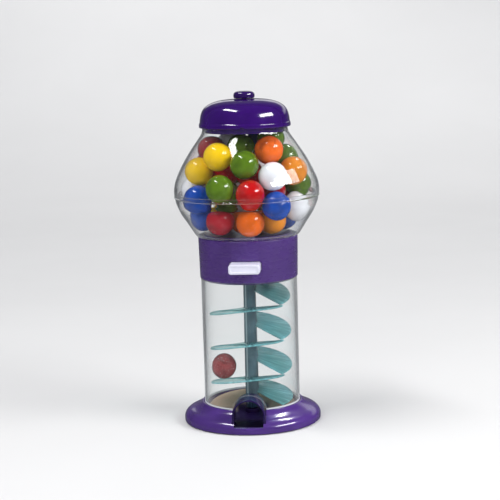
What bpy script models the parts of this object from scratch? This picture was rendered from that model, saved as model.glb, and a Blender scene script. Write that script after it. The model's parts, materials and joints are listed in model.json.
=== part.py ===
"""Spiral gumball machine.

A clear globe of gumballs stands on a purple dispenser band with a push
button.  Pressing the button slides a pocketed shuttle back, which carries one
gumball from under the funnel to a hole in the dispenser floor.  The gumball
drops on to the spiral ramp inside the clear tube, swirls down round the post
and leaves through an arched chute in the flared base.

Built in metres, +Z up, origin at the middle of the underside, front towards -Y.
All dimensions in the script are millimetres; place() scales them.  Bearings are
degrees from +X (the right-hand side), so -90 is the front.  In names, R is a
radius, D a diameter, RI and RO inner and outer radii, and 0 and 1 mark the low
and high ends of a range.  Every turned profile is a list of (radius, z).
"""

import math

import bmesh
import bpy
from mathutils import Matrix, Vector

METRES_PER_MM = 0.001

# ---------------------------------------------------------------- shared dimensions
TOTAL_H = 240.0          # top of the lid knob
GUMBALL_D = 20.4
SEGMENTS = 36            # facets round the large turned pieces
GAP = 0.3                # clearance between neighbouring pieces
AXIS = (0, 0)            # centre of the machine in plan

# tube
TUBE_RO, TUBE_RI = 34.9, 33.4
TUBE_Z0, TUBE_Z1 = 5.0, 106.0

# gumball chute: an arch on straight legs
CHUTE_R = 10.6           # half width of the tunnel, inside
CHUTE_WALL = 1.2
CHUTE_OUTER_R = CHUTE_R + CHUTE_WALL
CHUTE_CENTRE_Z = 12.9    # centre height of the arch
CHUTE_Y0, CHUTE_Y1 = -46.0, -24.0

# dispenser
BAND_Z0, BAND_Z1 = TUBE_Z1 + GAP, 136.2
BAND_RI = 33.7
PLATE_Z0, PLATE_Z1 = 112.0, 113.6
POCKET_R = 10.6          # bore of shuttle pocket, funnel hole and floor hole
POCKET = (15.5, -10.0)   # pocket and funnel hole, button at rest
TRAVEL = 12.0            # button stroke
BUTTON_W, BUTTON_Z0, BUTTON_Z1 = 22.0, 114.9, 121.7
BUTTON_FRONT = -48.4
BUTTON_ORIGIN = (0, BUTTON_FRONT, (BUTTON_Z0 + BUTTON_Z1) / 2)
SPRING_X = (-14.0, 15.5)              # left and right return springs
SPRING_END_Y = 25.5
FLOOR_SCREW_BEARINGS = (35.0, 150.0, 215.0)
FLOOR_SCREW_R = 29.2                  # pitch radius

# globe and lid
SEAM_Z = 164.7
NECK_R = 30.5
LID_Z0 = 214.6

# base
COLLAR_R, COLLAR_Z = 36.4, 14.6       # collar round the foot of the tube
COVER_R = 47.6
COVER_Z0, COVER_Z1 = 1.0, 2.0
CHUTE_FLOOR_Z0, CHUTE_FLOOR_Z1 = 2.3, 3.3
BASE_SCREW_BEARINGS = (90, 210, 330)
BASE_SCREW_R = 41.0                   # pitch radius
FOOT_BEARINGS = (45, 135, 225, 315)
FOOT_R = 40.5                         # pitch radius


# ---------------------------------------------------------------- objects
def clear_scene():
    for obj in list(bpy.data.objects):
        bpy.data.objects.remove(obj, do_unlink=True)


def make_material(name, rgb, roughness, metallic=0.0, alpha=1.0, transmission=0.0):
    mat = bpy.data.materials.new(name)
    mat.use_nodes = True
    inputs = mat.node_tree.nodes["Principled BSDF"].inputs
    inputs["Base Color"].default_value = (*rgb, 1.0)
    inputs["Roughness"].default_value = roughness
    inputs["Metallic"].default_value = metallic
    inputs["Alpha"].default_value = alpha
    inputs["Transmission Weight"].default_value = transmission
    return mat


def place(name, mesh, mat=None, origin=(0, 0, 0), sharp_angle=35.0):
    """Turn a bmesh modelled in millimetres into a placed object in metres."""
    bmesh.ops.remove_doubles(mesh, verts=mesh.verts, dist=1e-4)
    bmesh.ops.recalc_face_normals(mesh, faces=mesh.faces)
    bmesh.ops.translate(mesh, verts=mesh.verts, vec=-Vector(origin))
    bmesh.ops.scale(mesh, verts=mesh.verts, vec=(METRES_PER_MM,) * 3)
    data = bpy.data.meshes.new(name)
    mesh.to_mesh(data)
    mesh.free()
    obj = bpy.data.objects.new(name, data)
    bpy.context.collection.objects.link(obj)
    obj.location = Vector(origin) * METRES_PER_MM
    if mat is not None:
        data.materials.append(mat)
    data.shade_smooth()
    data.set_sharp_from_angle(angle=math.radians(sharp_angle))
    return obj


def add_boolean(target, helper, operation):
    helper.hide_render = True
    helper.display_type = "WIRE"
    modifier = target.modifiers.new(f"{operation.lower()}_{helper.name}", "BOOLEAN")
    modifier.operation = operation
    modifier.solver = "EXACT"
    modifier.object = helper


def cut(target, name, mesh):
    add_boolean(target, place(f"cutter_{name}", mesh), "DIFFERENCE")


def join(target, name, mesh):
    add_boolean(target, place(f"guide_{name}", mesh), "UNION")


def ride(obj, empty):
    """Parent an object to an empty without moving it."""
    obj.parent = empty
    obj.matrix_parent_inverse = Matrix.Translation(-Vector(empty.location))


# ---------------------------------------------------------------- shapes
def polar(radius, bearing):
    angle = math.radians(bearing)
    return radius * math.cos(angle), radius * math.sin(angle)


def interpolate(table, position):
    """Linear value of a table of (position, value) pairs, held level past its ends."""
    if position <= table[0][0]:
        return table[0][1]
    for (start, low), (end, high) in zip(table[:-1], table[1:]):
        if position <= end:
            return low + (high - low) * (position - start) / (end - start)
    return table[-1][1]


def turned(profile, steps=SEGMENTS, centre=AXIS):
    """Spin a closed profile of (radius, z) points round the vertical through centre."""
    mesh = bmesh.new()
    verts = [mesh.verts.new((radius, 0, z)) for radius, z in profile]
    # an edge lying on the axis would sweep no surface
    edges = [
        mesh.edges.new(pair)
        for pair in zip(verts, verts[1:] + verts[:1])
        if not (pair[0].co.x < 1e-6 and pair[1].co.x < 1e-6)
    ]
    bmesh.ops.spin(
        mesh, geom=verts + edges, cent=(0, 0, 0), axis=(0, 0, 1), dvec=(0, 0, 0),
        angle=2 * math.pi, steps=steps, use_merge=True, use_duplicate=False,
    )
    bmesh.ops.remove_doubles(mesh, verts=mesh.verts, dist=1e-4)
    bmesh.ops.translate(mesh, verts=mesh.verts, vec=(*centre, 0))
    return mesh


def rod(radius, z0, z1, centre=AXIS, steps=20):
    return turned([(0, z0), (radius, z0), (radius, z1), (0, z1)], steps, centre)


def pipe(inner, outer, z0, z1, centre, steps):
    return turned([(inner, z0), (outer, z0), (outer, z1), (inner, z1)], steps, centre)


def block(low, high, bevel=0.0, segments=2):
    """Box between two opposite corners, with optionally bevelled edges."""
    mesh = bmesh.new()
    bmesh.ops.create_cube(mesh, size=1.0)
    size = [end - start for start, end in zip(low, high)]
    middle = [(end + start) / 2 for start, end in zip(low, high)]
    bmesh.ops.scale(mesh, verts=mesh.verts, vec=size)
    bmesh.ops.translate(mesh, verts=mesh.verts, vec=middle)
    if bevel:
        bmesh.ops.bevel(
            mesh, geom=mesh.edges[:], offset=bevel, segments=segments,
            affect="EDGES", profile=0.5,
        )
    return mesh


def extrude_along_y(outline, y0, y1):
    """Extrude a closed outline of (x, z) points from y0 to y1."""
    mesh = bmesh.new()
    face = mesh.faces.new([mesh.verts.new((x, y0, z)) for x, z in outline])
    extruded = bmesh.ops.extrude_face_region(mesh, geom=[face])
    moved = [item for item in extruded["geom"] if isinstance(item, bmesh.types.BMVert)]
    bmesh.ops.translate(mesh, verts=moved, vec=(0, y1 - y0, 0))
    return mesh


def arch_outline(radius, foot_z, facets=14):
    """Outline of the chute arch, half circle on straight legs, as (x, z) points."""
    angles = [math.pi * i / facets for i in range(facets + 1)]
    curve = [
        (radius * math.cos(angle), CHUTE_CENTRE_Z + radius * math.sin(angle))
        for angle in angles
    ]
    return [(radius, foot_z)] + curve + [(-radius, foot_z)]


def ring(mesh, radius, z, centre=AXIS, back_rise=0.0):
    """Circle of vertices; back_rise lifts its back and lowers its front."""
    verts = []
    for i in range(SEGMENTS):
        angle = 2 * math.pi * i / SEGMENTS
        x = centre[0] + radius * math.cos(angle)
        y = centre[1] + radius * math.sin(angle)
        verts.append(mesh.verts.new((x, y, z + back_rise * math.sin(angle))))
    return verts


def bridge(mesh, first, second):
    """Join two loops of equally many vertices with a band of quads."""
    count = len(first)
    for i in range(count):
        j = (i + 1) % count
        mesh.faces.new((first[i], first[j], second[j], second[i]))


def bridge_capped(mesh, loops):
    """Skin a row of loops and close both ends."""
    for first, second in zip(loops[:-1], loops[1:]):
        bridge(mesh, first, second)
    mesh.faces.new(loops[0])
    mesh.faces.new(loops[-1])


def screw(name, head_r, head_h, shank_r, bearing_z, tip_z, centre=AXIS):
    """A vertical pan-head screw with a recess in its head.

    bearing_z is the face of the head that bears on the work; the shank runs
    from it to tip_z, up or down.
    """
    way = 1.0 if tip_z > bearing_z else -1.0
    free_z = bearing_z - way * head_h
    recess_z = free_z + way * 0.55 * head_h
    recess_r = min(0.55 * head_r, 1.5)
    profile = [
        (0, recess_z), (recess_r, recess_z), (recess_r, free_z),
        (head_r * 0.8, free_z), (head_r, bearing_z), (shank_r, bearing_z),
        (shank_r, tip_z - way * 1.2), (shank_r * 0.35, tip_z), (0, tip_z),
    ]
    place(name, turned(profile, 10, centre), STEEL, (*centre, bearing_z), 50)


# ---------------------------------------------------------------- materials
clear_scene()

PURPLE = make_material("purple_plastic", (0.095, 0.03, 0.24), roughness=0.22)
DARK_PURPLE = make_material("dark_purple_plastic", (0.035, 0.012, 0.11), roughness=0.2)
CLEAR = make_material(
    "clear_plastic", (0.95, 0.97, 0.97), roughness=0.05, alpha=0.25, transmission=1.0
)
TEAL = make_material("teal_plastic", (0.14, 0.36, 0.40), roughness=0.2, alpha=0.8)
BLUE_GREY = make_material("blue_grey_plastic", (0.07, 0.12, 0.14), roughness=0.35)
WHITE = make_material("white_button_plastic", (0.78, 0.76, 0.88), roughness=0.3)
GREY = make_material("grey_shuttle_plastic", (0.35, 0.34, 0.4), roughness=0.4)
STEEL = make_material("steel", (0.55, 0.55, 0.56), roughness=0.3, metallic=1.0)
RUBBER = make_material("black_rubber", (0.02, 0.02, 0.02), roughness=0.8)
SMOKE = make_material("smoke_floor_plastic", (0.2, 0.17, 0.16), roughness=0.3)
FILL = make_material("gumball_fill", (0.3, 0.12, 0.1), roughness=0.3)

GUMBALL_COLOURS = {
    "red": (0.45, 0.006, 0.008), "dark_red": (0.14, 0.004, 0.008),
    "crimson": (0.3, 0.01, 0.025), "yellow": (0.7, 0.38, 0.008),
    "green": (0.11, 0.22, 0.01), "orange": (0.75, 0.16, 0.015),
    "orange_red": (0.6, 0.06, 0.01), "white": (0.85, 0.85, 0.88),
    "blue": (0.006, 0.045, 0.32),
}
GUMBALL_MATERIALS = {
    tint: make_material(f"gumball_{tint}", rgb, roughness=0.15)
    for tint, rgb in GUMBALL_COLOURS.items()
}

# ---------------------------------------------------------------- lid
LID_PLUG_RI = 27.6       # inside of the plug that enters the neck
LID_PROFILE = [
    # outside, from the middle hole down to the rim
    (1.8, 234.6), (12.5, 234.2), (18.0, 233.5), (23.6, 231.9), (27.6, 229.8),
    (30.0, 227.2), (31.4, 223.9), (32.1, 220.5), (32.3, 217.8), (32.8, 217.3),
    (33.0, 216.2), (32.8, LID_Z0),
    # groove over the neck, then the plug
    (31.2, LID_Z0), (31.0, 221.2), (28.8, 221.2), (28.8, 210.8), (LID_PLUG_RI, 210.8),
    # underside of the dome
    (LID_PLUG_RI, 223.6), (25.8, 227.6), (20.6, 230.8), (11.8, 232.5), (1.8, 232.9),
]
NOTCH_OUTLINE = [(-1.8, 214.0), (1.8, 214.0), (0.5, 215.9), (-0.5, 215.9)]  # (x, z)
KNOB_PROFILE = [
    (0, TOTAL_H), (4.4, 239.9), (6.3, 239.5), (7.2, 238.6), (7.6, 237.0),
    (7.5, 235.4), (7.1, 234.9), (1.7, 234.9), (1.7, 237.9), (0, 237.9),
]


def build_lid():
    lid = place("lid_cap", turned(LID_PROFILE), PURPLE)
    # small pick notch in the front of the rim
    cut(lid, "lid_notch", extrude_along_y(NOTCH_OUTLINE, -36, -29))
    place("lid_knob", turned(KNOB_PROFILE, 26), DARK_PURPLE)
    screw("lid_knob_screw", head_r=3.3, head_h=2.2, shank_r=1.35, bearing_z=232.5, tip_z=237.5)


# ---------------------------------------------------------------- globe
GLOBE_UPPER_PROFILE = [
    # outside, seam to neck
    (52.0, SEAM_Z), (52.3, 168.4), (52.2, 171.6), (51.1, 176.7), (48.3, 183.4),
    (45.1, 189.5), (41.4, 195.6), (37.5, 201.4), (33.9, 206.4), (31.6, 210.0),
    (30.7, 213.0), (NECK_R, 216.0), (NECK_R, 220.6),
    # inside, neck to seam
    (NECK_R - 1.3, 220.6), (NECK_R - 1.3, 212.6), (30.3, 209.3), (36.2, 200.8),
    (43.7, 188.9), (46.9, 182.8), (49.6, 176.3), (50.6, 171.4), (50.5, SEAM_Z),
]
GLOBE_LOWER_PROFILE = [
    # outside, foot to seam
    (33.4, 133.9), (33.4, 136.5), (36.9, 136.6), (38.2, 138.3), (43.2, 146.2),
    (47.6, 152.9), (50.2, 158.6), (51.3, 161.6), (51.5, SEAM_Z - GAP),
    # lip standing up inside the upper half, then the inside down to the foot
    (50.1, SEAM_Z - GAP), (50.1, 167.4), (48.9, 167.4), (48.9, 159.4), (46.3, 153.7),
    (41.9, 147.0), (37.0, 139.0), (36.3, 138.0), (32.2, 138.0), (32.2, 133.9),
]


def build_globe():
    place("globe_upper", turned(GLOBE_UPPER_PROFILE), CLEAR)
    place("globe_lower", turned(GLOBE_LOWER_PROFILE), CLEAR)


# ---------------------------------------------------------------- funnel
# (radius, z, centre) of the rings, from the top rim down and back up outside
FUNNEL_RINGS = (
    (31.9, 138.5, AXIS), (30.7, 138.5, AXIS), (POCKET_R, 136.4, POCKET),
    (POCKET_R, 134.8, POCKET), (30.9, 134.8, AXIS), (30.9, 131.8, AXIS),
    (33.4, 131.8, AXIS), (33.4, 133.4, AXIS), (31.9, 133.4, AXIS),
)


def build_funnel():
    mesh = bmesh.new()
    loops = [ring(mesh, radius, z, centre) for radius, z, centre in FUNNEL_RINGS]
    for first, second in zip(loops, loops[1:] + loops[:1]):
        bridge(mesh, first, second)
    place("hopper_funnel", mesh, PURPLE)


# ---------------------------------------------------------------- dispenser band and floor
BAND_R0, BAND_R1 = 35.4, 36.0        # outside, foot and top
FLOOR_SCREW_HOLE_R = 1.5
BOSS_Z0, BOSS_Z1 = PLATE_Z1 + GAP, 124.5
WEB_HALF_T = 0.9
WINDOW_GAP = 0.4                     # clearance round the button
STOP_HALF_W = 3.2

HOUSING_PROFILE = [
    (BAND_R0, BAND_Z0), (BAND_R1, BAND_Z1 - 0.6), (BAND_R1 - 0.5, BAND_Z1),
    (BAND_RI, BAND_Z1), (BAND_RI, 131.5), (32.4, 131.5), (32.4, 130.3),
    (BAND_RI, 128.9), (BAND_RI, BAND_Z0),
]
# plate, with a skirt reaching down inside the tube
PLATE_R = BAND_RI - GAP
SKIRT_RI, SKIRT_RO, SKIRT_Z0 = 31.9, TUBE_RI - GAP, 104.9
FLOOR_PROFILE = [
    (1.6, PLATE_Z0), (SKIRT_RI, PLATE_Z0), (SKIRT_RI, SKIRT_Z0), (SKIRT_RO, SKIRT_Z0),
    (SKIRT_RO, 106.6), (PLATE_R, 107.0), (PLATE_R, PLATE_Z1), (1.6, PLATE_Z1),
]


def wall_web(bearing):
    """Web between a screw boss and the wall of the band."""
    web = block(
        (2.1, -WEB_HALF_T, BOSS_Z0 + 0.3),
        (BAND_RI - FLOOR_SCREW_R + 0.6, WEB_HALF_T, BOSS_Z1 - 0.3),
    )
    turn = Matrix.Rotation(math.radians(bearing), 3, "Z")
    bmesh.ops.rotate(web, verts=web.verts, cent=(0, 0, 0), matrix=turn)
    bmesh.ops.translate(web, verts=web.verts, vec=(*polar(FLOOR_SCREW_R, bearing), 0))
    return web


def build_housing():
    housing = place("dispenser_housing", turned(HOUSING_PROFILE), PURPLE)
    for i, bearing in enumerate(FLOOR_SCREW_BEARINGS, 1):
        centre = polar(FLOOR_SCREW_R, bearing)
        boss = pipe(FLOOR_SCREW_HOLE_R, 2.7, BOSS_Z0, BOSS_Z1, centre, steps=16)
        join(housing, f"boss_{i}", boss)
        join(housing, f"web_{i}", wall_web(bearing))
    half_w = BUTTON_W / 2 + WINDOW_GAP
    window = block(
        (-half_w, -38, BUTTON_Z0 - WINDOW_GAP), (half_w, -30, BUTTON_Z1 + WINDOW_GAP),
        bevel=0.8, segments=1,
    )
    cut(housing, "button_window", window)


def build_floor():
    """Floor plate with its skirt, spring stops, drop hole and screws."""
    floor = place("dispenser_floor", turned(FLOOR_PROFILE), PURPLE)
    drop = (POCKET[0], POCKET[1] + TRAVEL)
    cut(floor, "drop_hole", rod(POCKET_R, 100, 120, drop, 28))
    for i, x in enumerate(SPRING_X, 1):
        stop = block(
            (x - STOP_HALF_W, SPRING_END_Y + 0.3, PLATE_Z1 - 0.5),
            (x + STOP_HALF_W, SPRING_END_Y + 1.8, 127.0),
        )
        join(floor, f"spring_stop_{i}", stop)
    for i, bearing in enumerate(FLOOR_SCREW_BEARINGS, 1):
        centre = polar(FLOOR_SCREW_R, bearing)
        cut(floor, f"floor_hole_{i}", rod(FLOOR_SCREW_HOLE_R, 108, 116, centre, 12))
        screw(
            f"floor_screw_{i}", head_r=2.4, head_h=1.8, shank_r=1.2,
            bearing_z=PLATE_Z0 - GAP, tip_z=122.5, centre=centre,
        )


# ---------------------------------------------------------------- push button and shuttle
SHUTTLE_Z0, SHUTTLE_Z1 = PLATE_Z1 + GAP, 134.4
SHUTTLE_RO = 12.0
PAD_HALF_W = 3.3
LEFT_X, RIGHT_X = SPRING_X

# name, low corner, high corner of each block joined to the body
BUTTON_BLOCKS = (
    # retaining flange behind the wall
    ("button_flange", (-13.2, -30.6, BUTTON_Z0 - 0.9), (13.2, -28.8, BUTTON_Z1 + 2.0)),
    ("button_neck", (-9.0, -32.0, BUTTON_Z0 + 1.2), (9.0, -30.0, BUTTON_Z1 - 1.2)),
    # peg that plugs into the shuttle
    ("button_peg", (-5.0, -29.2, 116.6), (5.0, -25.6, 120.0)),
)
SHUTTLE_BLOCKS = (
    # bridge behind the button, with the arm that the left-hand spring pushes on
    ("bridge", (-17.5, -28.5, 114.4), (8.0, -23.0, 126.0)),
    ("bridge_right", (5.0, -28.5, 114.4), (16.0, -20.5, 126.0)),
    ("left_arm", (LEFT_X - 3.0, -24.5, 114.6), (LEFT_X + 3.0, -2.4, 125.8)),
    ("left_spring_pad",
     (LEFT_X - PAD_HALF_W, -3.4, 114.9), (LEFT_X + PAD_HALF_W, -1.2, 126.6)),
    ("right_spring_pad",
     (RIGHT_X - PAD_HALF_W, 1.3, 119.4), (RIGHT_X + PAD_HALF_W, 3.1, 126.6)),
)


def build_slide_axis():
    """Empty that carries every piece moving with the button."""
    slide = bpy.data.objects.new("button_slide_axis", None)
    slide.location = Vector(BUTTON_ORIGIN) * METRES_PER_MM
    bpy.context.collection.objects.link(slide)
    return slide


def build_button(slide):
    body = block(
        (-BUTTON_W / 2, BUTTON_FRONT, BUTTON_Z0), (BUTTON_W / 2, -31.0, BUTTON_Z1), bevel=0.9
    )
    button = place("press_button", body, WHITE, BUTTON_ORIGIN)
    for name, low, high in BUTTON_BLOCKS:
        join(button, name, block(low, high))
    ride(button, slide)


def build_shuttle(slide):
    body = pipe(POCKET_R, SHUTTLE_RO, SHUTTLE_Z0, SHUTTLE_Z1, POCKET, steps=32)
    shuttle = place("gumball_shuttle", body, GREY, (*POCKET, SHUTTLE_Z0))
    for name, low, high in SHUTTLE_BLOCKS:
        join(shuttle, name, block(low, high))
    cut(shuttle, "pocket_bore", rod(POCKET_R, 100, 140, POCKET, 32))
    cut(shuttle, "peg_socket", block((-5.3, -29.0, 116.3), (5.3, -25.2, 120.3)))
    ride(shuttle, slide)


# ---------------------------------------------------------------- return springs
SPRING_Z = 123.0
COIL_R = 2.5
WIRE_R = 0.45
WIRE_SIDES = 5
RINGS_PER_TURN = 9
END_TURNS = 0.8          # closed coils at each end
END_ADVANCE = 0.05       # share of the length they take up


def spring_advance(share, turns):
    """Share of the length reached after a share of the turns."""
    end = END_TURNS / turns
    if share < end:
        return END_ADVANCE * share / end
    if share > 1 - end:
        return 1 - END_ADVANCE * (1 - share) / end
    return END_ADVANCE + (1 - 2 * END_ADVANCE) * (share - end) / (1 - 2 * end)


def build_spring(name, x, start_y, turns):
    """Wire along a helix about a line parallel to Y, with closed end coils."""
    mesh = bmesh.new()
    count = int(turns * RINGS_PER_TURN)
    first_y, last_y = start_y + WIRE_R, SPRING_END_Y - WIRE_R
    along_y = Vector((0, 1, 0))
    loops = []
    for i in range(count + 1):
        share = i / count
        angle = 2 * math.pi * turns * share
        radial = Vector((math.cos(angle), 0, math.sin(angle)))
        y = first_y + (last_y - first_y) * spring_advance(share, turns)
        centre = Vector((x, y, SPRING_Z)) + COIL_R * radial
        loop = []
        for k in range(WIRE_SIDES):
            side = 2 * math.pi * k / WIRE_SIDES
            offset = math.cos(side) * radial + math.sin(side) * along_y
            loop.append(mesh.verts.new(centre + WIRE_R * offset))
        loops.append(loop)
    bridge_capped(mesh, loops)
    place(name, mesh, STEEL, (x, start_y, SPRING_Z), 80)


def build_springs():
    build_spring("return_spring_left", LEFT_X, start_y=-0.9, turns=7.5)
    build_spring("return_spring_right", RIGHT_X, start_y=3.4, turns=6.5)


# ---------------------------------------------------------------- tube
def build_tube():
    profile = [(TUBE_RO, TUBE_Z0), (TUBE_RO, TUBE_Z1), (TUBE_RI, TUBE_Z1), (TUBE_RI, TUBE_Z0)]
    tube = place("spiral_tube", turned(profile), CLEAR)
    doorway = arch_outline(CHUTE_OUTER_R + 0.5, 0.0)
    cut(tube, "tube_doorway", extrude_along_y(doorway, -40, -20))


# ---------------------------------------------------------------- post and spiral ramp
POST_R = 2.6
POST_BORE_R = 1.4
POST_Z0, POST_Z1 = 7.9, 111.6
SLEEVE_RI = 2.9
SLEEVE_R_TOP, SLEEVE_R_BOTTOM = 4.4, 5.0
SLEEVE_Z0, SLEEVE_Z1 = 8.6, 109.6
RAMP_R = 30.0            # outer edge of the spiral
RAMP_ROOT_R = 0.5 * (SLEEVE_RI + SLEEVE_R_TOP)   # inner edge, buried in the sleeve
RAMP_T = 1.2             # sheet thickness
PITCH = 25.3             # drop of the spiral per turn
RAMP_Z0 = 91.2           # height of the outer edge at bearing 0
LEAF_END = -40.0         # bearing at which every leaf ends, give or take whole turns
LEAF_OVERLAP = 6.0       # degrees a leaf starts before the one above ends
LEAF_SPAN = 360.0 + LEAF_OVERLAP
LEAF_STEP = 11.25        # about the degrees between the rays of a leaf
LEAF_SINK = 1.7          # how far a leaf starts below the even helix
SINK_SPAN = 150.0        # degrees over which it comes back up

# (degrees along a leaf, fall of the sheet towards the rim per mm of radius):
# a leaf starts dished up towards its rim, so a gumball is gathered in, and
# ends falling towards its rim, so the next leaf can start beneath it
RADIAL_DROP = (
    (0, -0.20), (55, -0.15), (100, -0.03), (140, 0.13), (190, 0.19), (240, 0.19),
    (300, 0.21), (366, 0.25),
)
# (degrees along a leaf, height of the rim above an even helix): the rim runs
# almost level across the front and makes up for it on the left
RIM_SWELL = (
    (0, 0.0), (6, 0.0), (26, 1.3), (50, 2.2), (75, 2.1), (105, 1.0), (146, -0.6),
    (200, -0.7), (260, -0.2), (300, 0.0),
)


def leaf(start, end, lift=0.0):
    """One leaf from bearing start down to bearing end, which is raised by lift."""
    mesh = bmesh.new()
    count = round((start - end) / LEAF_STEP)
    sections = []
    for i in range(count + 1):
        share = i / count
        bearing = start + (end - start) * share
        travelled = LEAF_SPAN - (bearing - end)
        sink = LEAF_SINK * max(0.0, 1.0 - travelled / SINK_SPAN)
        rim_z = (RAMP_Z0 + PITCH * bearing / 360.0 - sink
                 + interpolate(RIM_SWELL, travelled) + lift * share * share)
        slope = interpolate(RADIAL_DROP, travelled)
        edge = [
            (*polar(radius, bearing), rim_z + slope * (RAMP_R - radius))
            for radius in (RAMP_ROOT_R, RAMP_R)
        ]
        top = [mesh.verts.new(point) for point in edge]
        underside = [mesh.verts.new((x, y, z - RAMP_T)) for x, y, z in edge]
        sections.append(top + underside[::-1])
    bridge_capped(mesh, sections)
    return mesh


def build_post():
    # the two screw bores are blind
    profile = [
        (POST_BORE_R, POST_Z0), (POST_R, POST_Z0), (POST_R, POST_Z1), (POST_BORE_R, POST_Z1),
        (POST_BORE_R, 100.0), (0, 99.4), (0, 20.0), (POST_BORE_R, 19.4),
    ]
    place("center_post", turned(profile, 20), BLUE_GREY)
    screw(
        "post_top_screw", head_r=3.0, head_h=1.8, shank_r=1.15,
        bearing_z=PLATE_Z1 + GAP, tip_z=101.5,
    )
    screw("post_bottom_screw", head_r=3.0, head_h=2.0, shank_r=1.15, bearing_z=5.3, tip_z=18.5)


def build_ramp():
    sleeve = [
        (SLEEVE_RI, SLEEVE_Z0), (SLEEVE_R_BOTTOM, SLEEVE_Z0),
        (SLEEVE_R_TOP, SLEEVE_Z1), (SLEEVE_RI, SLEEVE_Z1),
    ]
    ramp = place("spiral_ramp", turned(sleeve, 24), TEAL)
    # the top leaf is only the last part of a full one
    join(ramp, "leaf_1", leaf(96.0, LEAF_END))
    for i, lift in enumerate((0.0, 0.0, 2.4), 1):
        end = LEAF_END - 360 * i
        join(ramp, f"leaf_{i + 1}", leaf(end + LEAF_SPAN, end, lift))


# ---------------------------------------------------------------- base
BASE_R = 50.0            # rim of the flare
BORE_R = TUBE_RO + GAP   # seat of the tube
SEAT_Z = TUBE_Z0 - GAP
BASE_PROFILE = [
    # outside, rim to collar
    (49.9, 0.7), (BASE_R, 3.4), (49.5, 5.6), (48.2, 7.3), (46.0, 8.8), (42.4, 10.2),
    (39.2, 11.9), (37.3, 13.7), (COLLAR_R, COLLAR_Z),
    # bore and seat of the tube
    (BORE_R, COLLAR_Z), (BORE_R, SEAT_Z), (33.3, SEAT_Z), (33.3, 3.2),
    # underside, seat to rim
    (36.8, 3.2), (36.9, 10.6), (39.0, 9.3), (41.6, 8.2), (45.0, 6.8), (47.2, 5.2),
    (48.0, 3.4), (48.1, 0.7),
]
BASE_SCREW_HOLE_R = 1.4
SLOT_HALF_W = CHUTE_OUTER_R + GAP

# collector: a dish higher at the back, draining to a flat spot at the front
DISH_R = 32.9
DISH_Z = 9.4             # mean height of the dish rim
DISH_BACK_RISE = 4.6
DISH_RIM_T = 1.5
DRAIN = (0.0, -20.5)
DRAIN_R = 9.0

FOOT_PROFILE = [
    (0, 0), (4.0, 0), (4.3, 0.35), (4.1, 0.7), (1.4, 0.7), (1.4, 2.2), (1.1, 2.8), (0, 2.8),
]


def build_base_shell():
    base = place("base_shell", turned(BASE_PROFILE, 40), PURPLE)
    for i, bearing in enumerate(BASE_SCREW_BEARINGS, 1):
        centre = polar(BASE_SCREW_R, bearing)
        boss = pipe(BASE_SCREW_HOLE_R, 2.9, 2.4, 9.4, centre, steps=16)
        join(base, f"base_boss_{i}", boss)
    # gap for the chute, and the lower sill a gumball stops against
    cut(base, "chute_slot", block((-SLOT_HALF_W, -46.4, -1), (SLOT_HALF_W, -20, 20)))
    cut(base, "sill", block((-CHUTE_R, -53, 5.2), (CHUTE_R, -44, 20)))


def build_collector():
    mesh = bmesh.new()
    rim_top = ring(mesh, DISH_R, DISH_Z, back_rise=DISH_BACK_RISE)
    drain_top = ring(mesh, DRAIN_R, CHUTE_FLOOR_Z1 + 0.15, DRAIN)
    drain_low = ring(mesh, DRAIN_R, CHUTE_FLOOR_Z0, DRAIN)
    rim_low = ring(mesh, DISH_R, DISH_Z - DISH_RIM_T, back_rise=DISH_BACK_RISE)
    bridge(mesh, rim_top, drain_top)
    bridge(mesh, drain_low, rim_low)
    bridge(mesh, rim_low, rim_top)
    mesh.faces.new(drain_top)
    mesh.faces.new(drain_low)
    collector = place("collector_floor", mesh, SMOKE)
    tongue = block((-10.3, CHUTE_Y0, CHUTE_FLOOR_Z0), (10.3, -16.0, CHUTE_FLOOR_Z1))
    join(collector, "tongue", tongue)
    join(collector, "post_boss", rod(5.6, CHUTE_FLOOR_Z0, 7.6))
    cut(collector, "channel", block((-10.0, -50, CHUTE_FLOOR_Z1), (10.0, -22.0, 12)))
    cut(collector, "boss_bore", rod(1.5, 1, 10, steps=12))
    cut(collector, "boss_counterbore", rod(3.3, 1, 5.6, steps=16))


def build_hood():
    outer = arch_outline(CHUTE_OUTER_R, CHUTE_FLOOR_Z0)
    inner = arch_outline(CHUTE_R, CHUTE_FLOOR_Z0)
    arch = extrude_along_y(outer + inner[::-1], CHUTE_Y0, CHUTE_Y1)
    hood = place("chute_hood", arch, DARK_PURPLE)
    # inside the tube the legs stop above the collector floor
    cut(hood, "hood_legs", block((-20, -33.6, 0), (20, -10, 6.4)))


def build_cover():
    """Cover under the base, with its screws and rubber feet."""
    cover = place("base_cover", rod(COVER_R, COVER_Z0, COVER_Z1, steps=40), PURPLE)
    for i, bearing in enumerate(BASE_SCREW_BEARINGS, 1):
        centre = polar(BASE_SCREW_R, bearing)
        cut(cover, f"cover_hole_{i}", rod(BASE_SCREW_HOLE_R, 0, 3, centre, 12))
        screw(
            f"base_screw_{i}", head_r=2.4, head_h=0.55, shank_r=1.1,
            bearing_z=COVER_Z0 - GAP, tip_z=8.0, centre=centre,
        )
    for i, bearing in enumerate(FOOT_BEARINGS, 1):
        centre = polar(FOOT_R, bearing)
        cut(cover, f"foot_hole_{i}", rod(1.7, 0, 3, centre, 12))
        place(f"rubber_foot_{i}", turned(FOOT_PROFILE, 14, centre), RUBBER, (*centre, 0))


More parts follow.
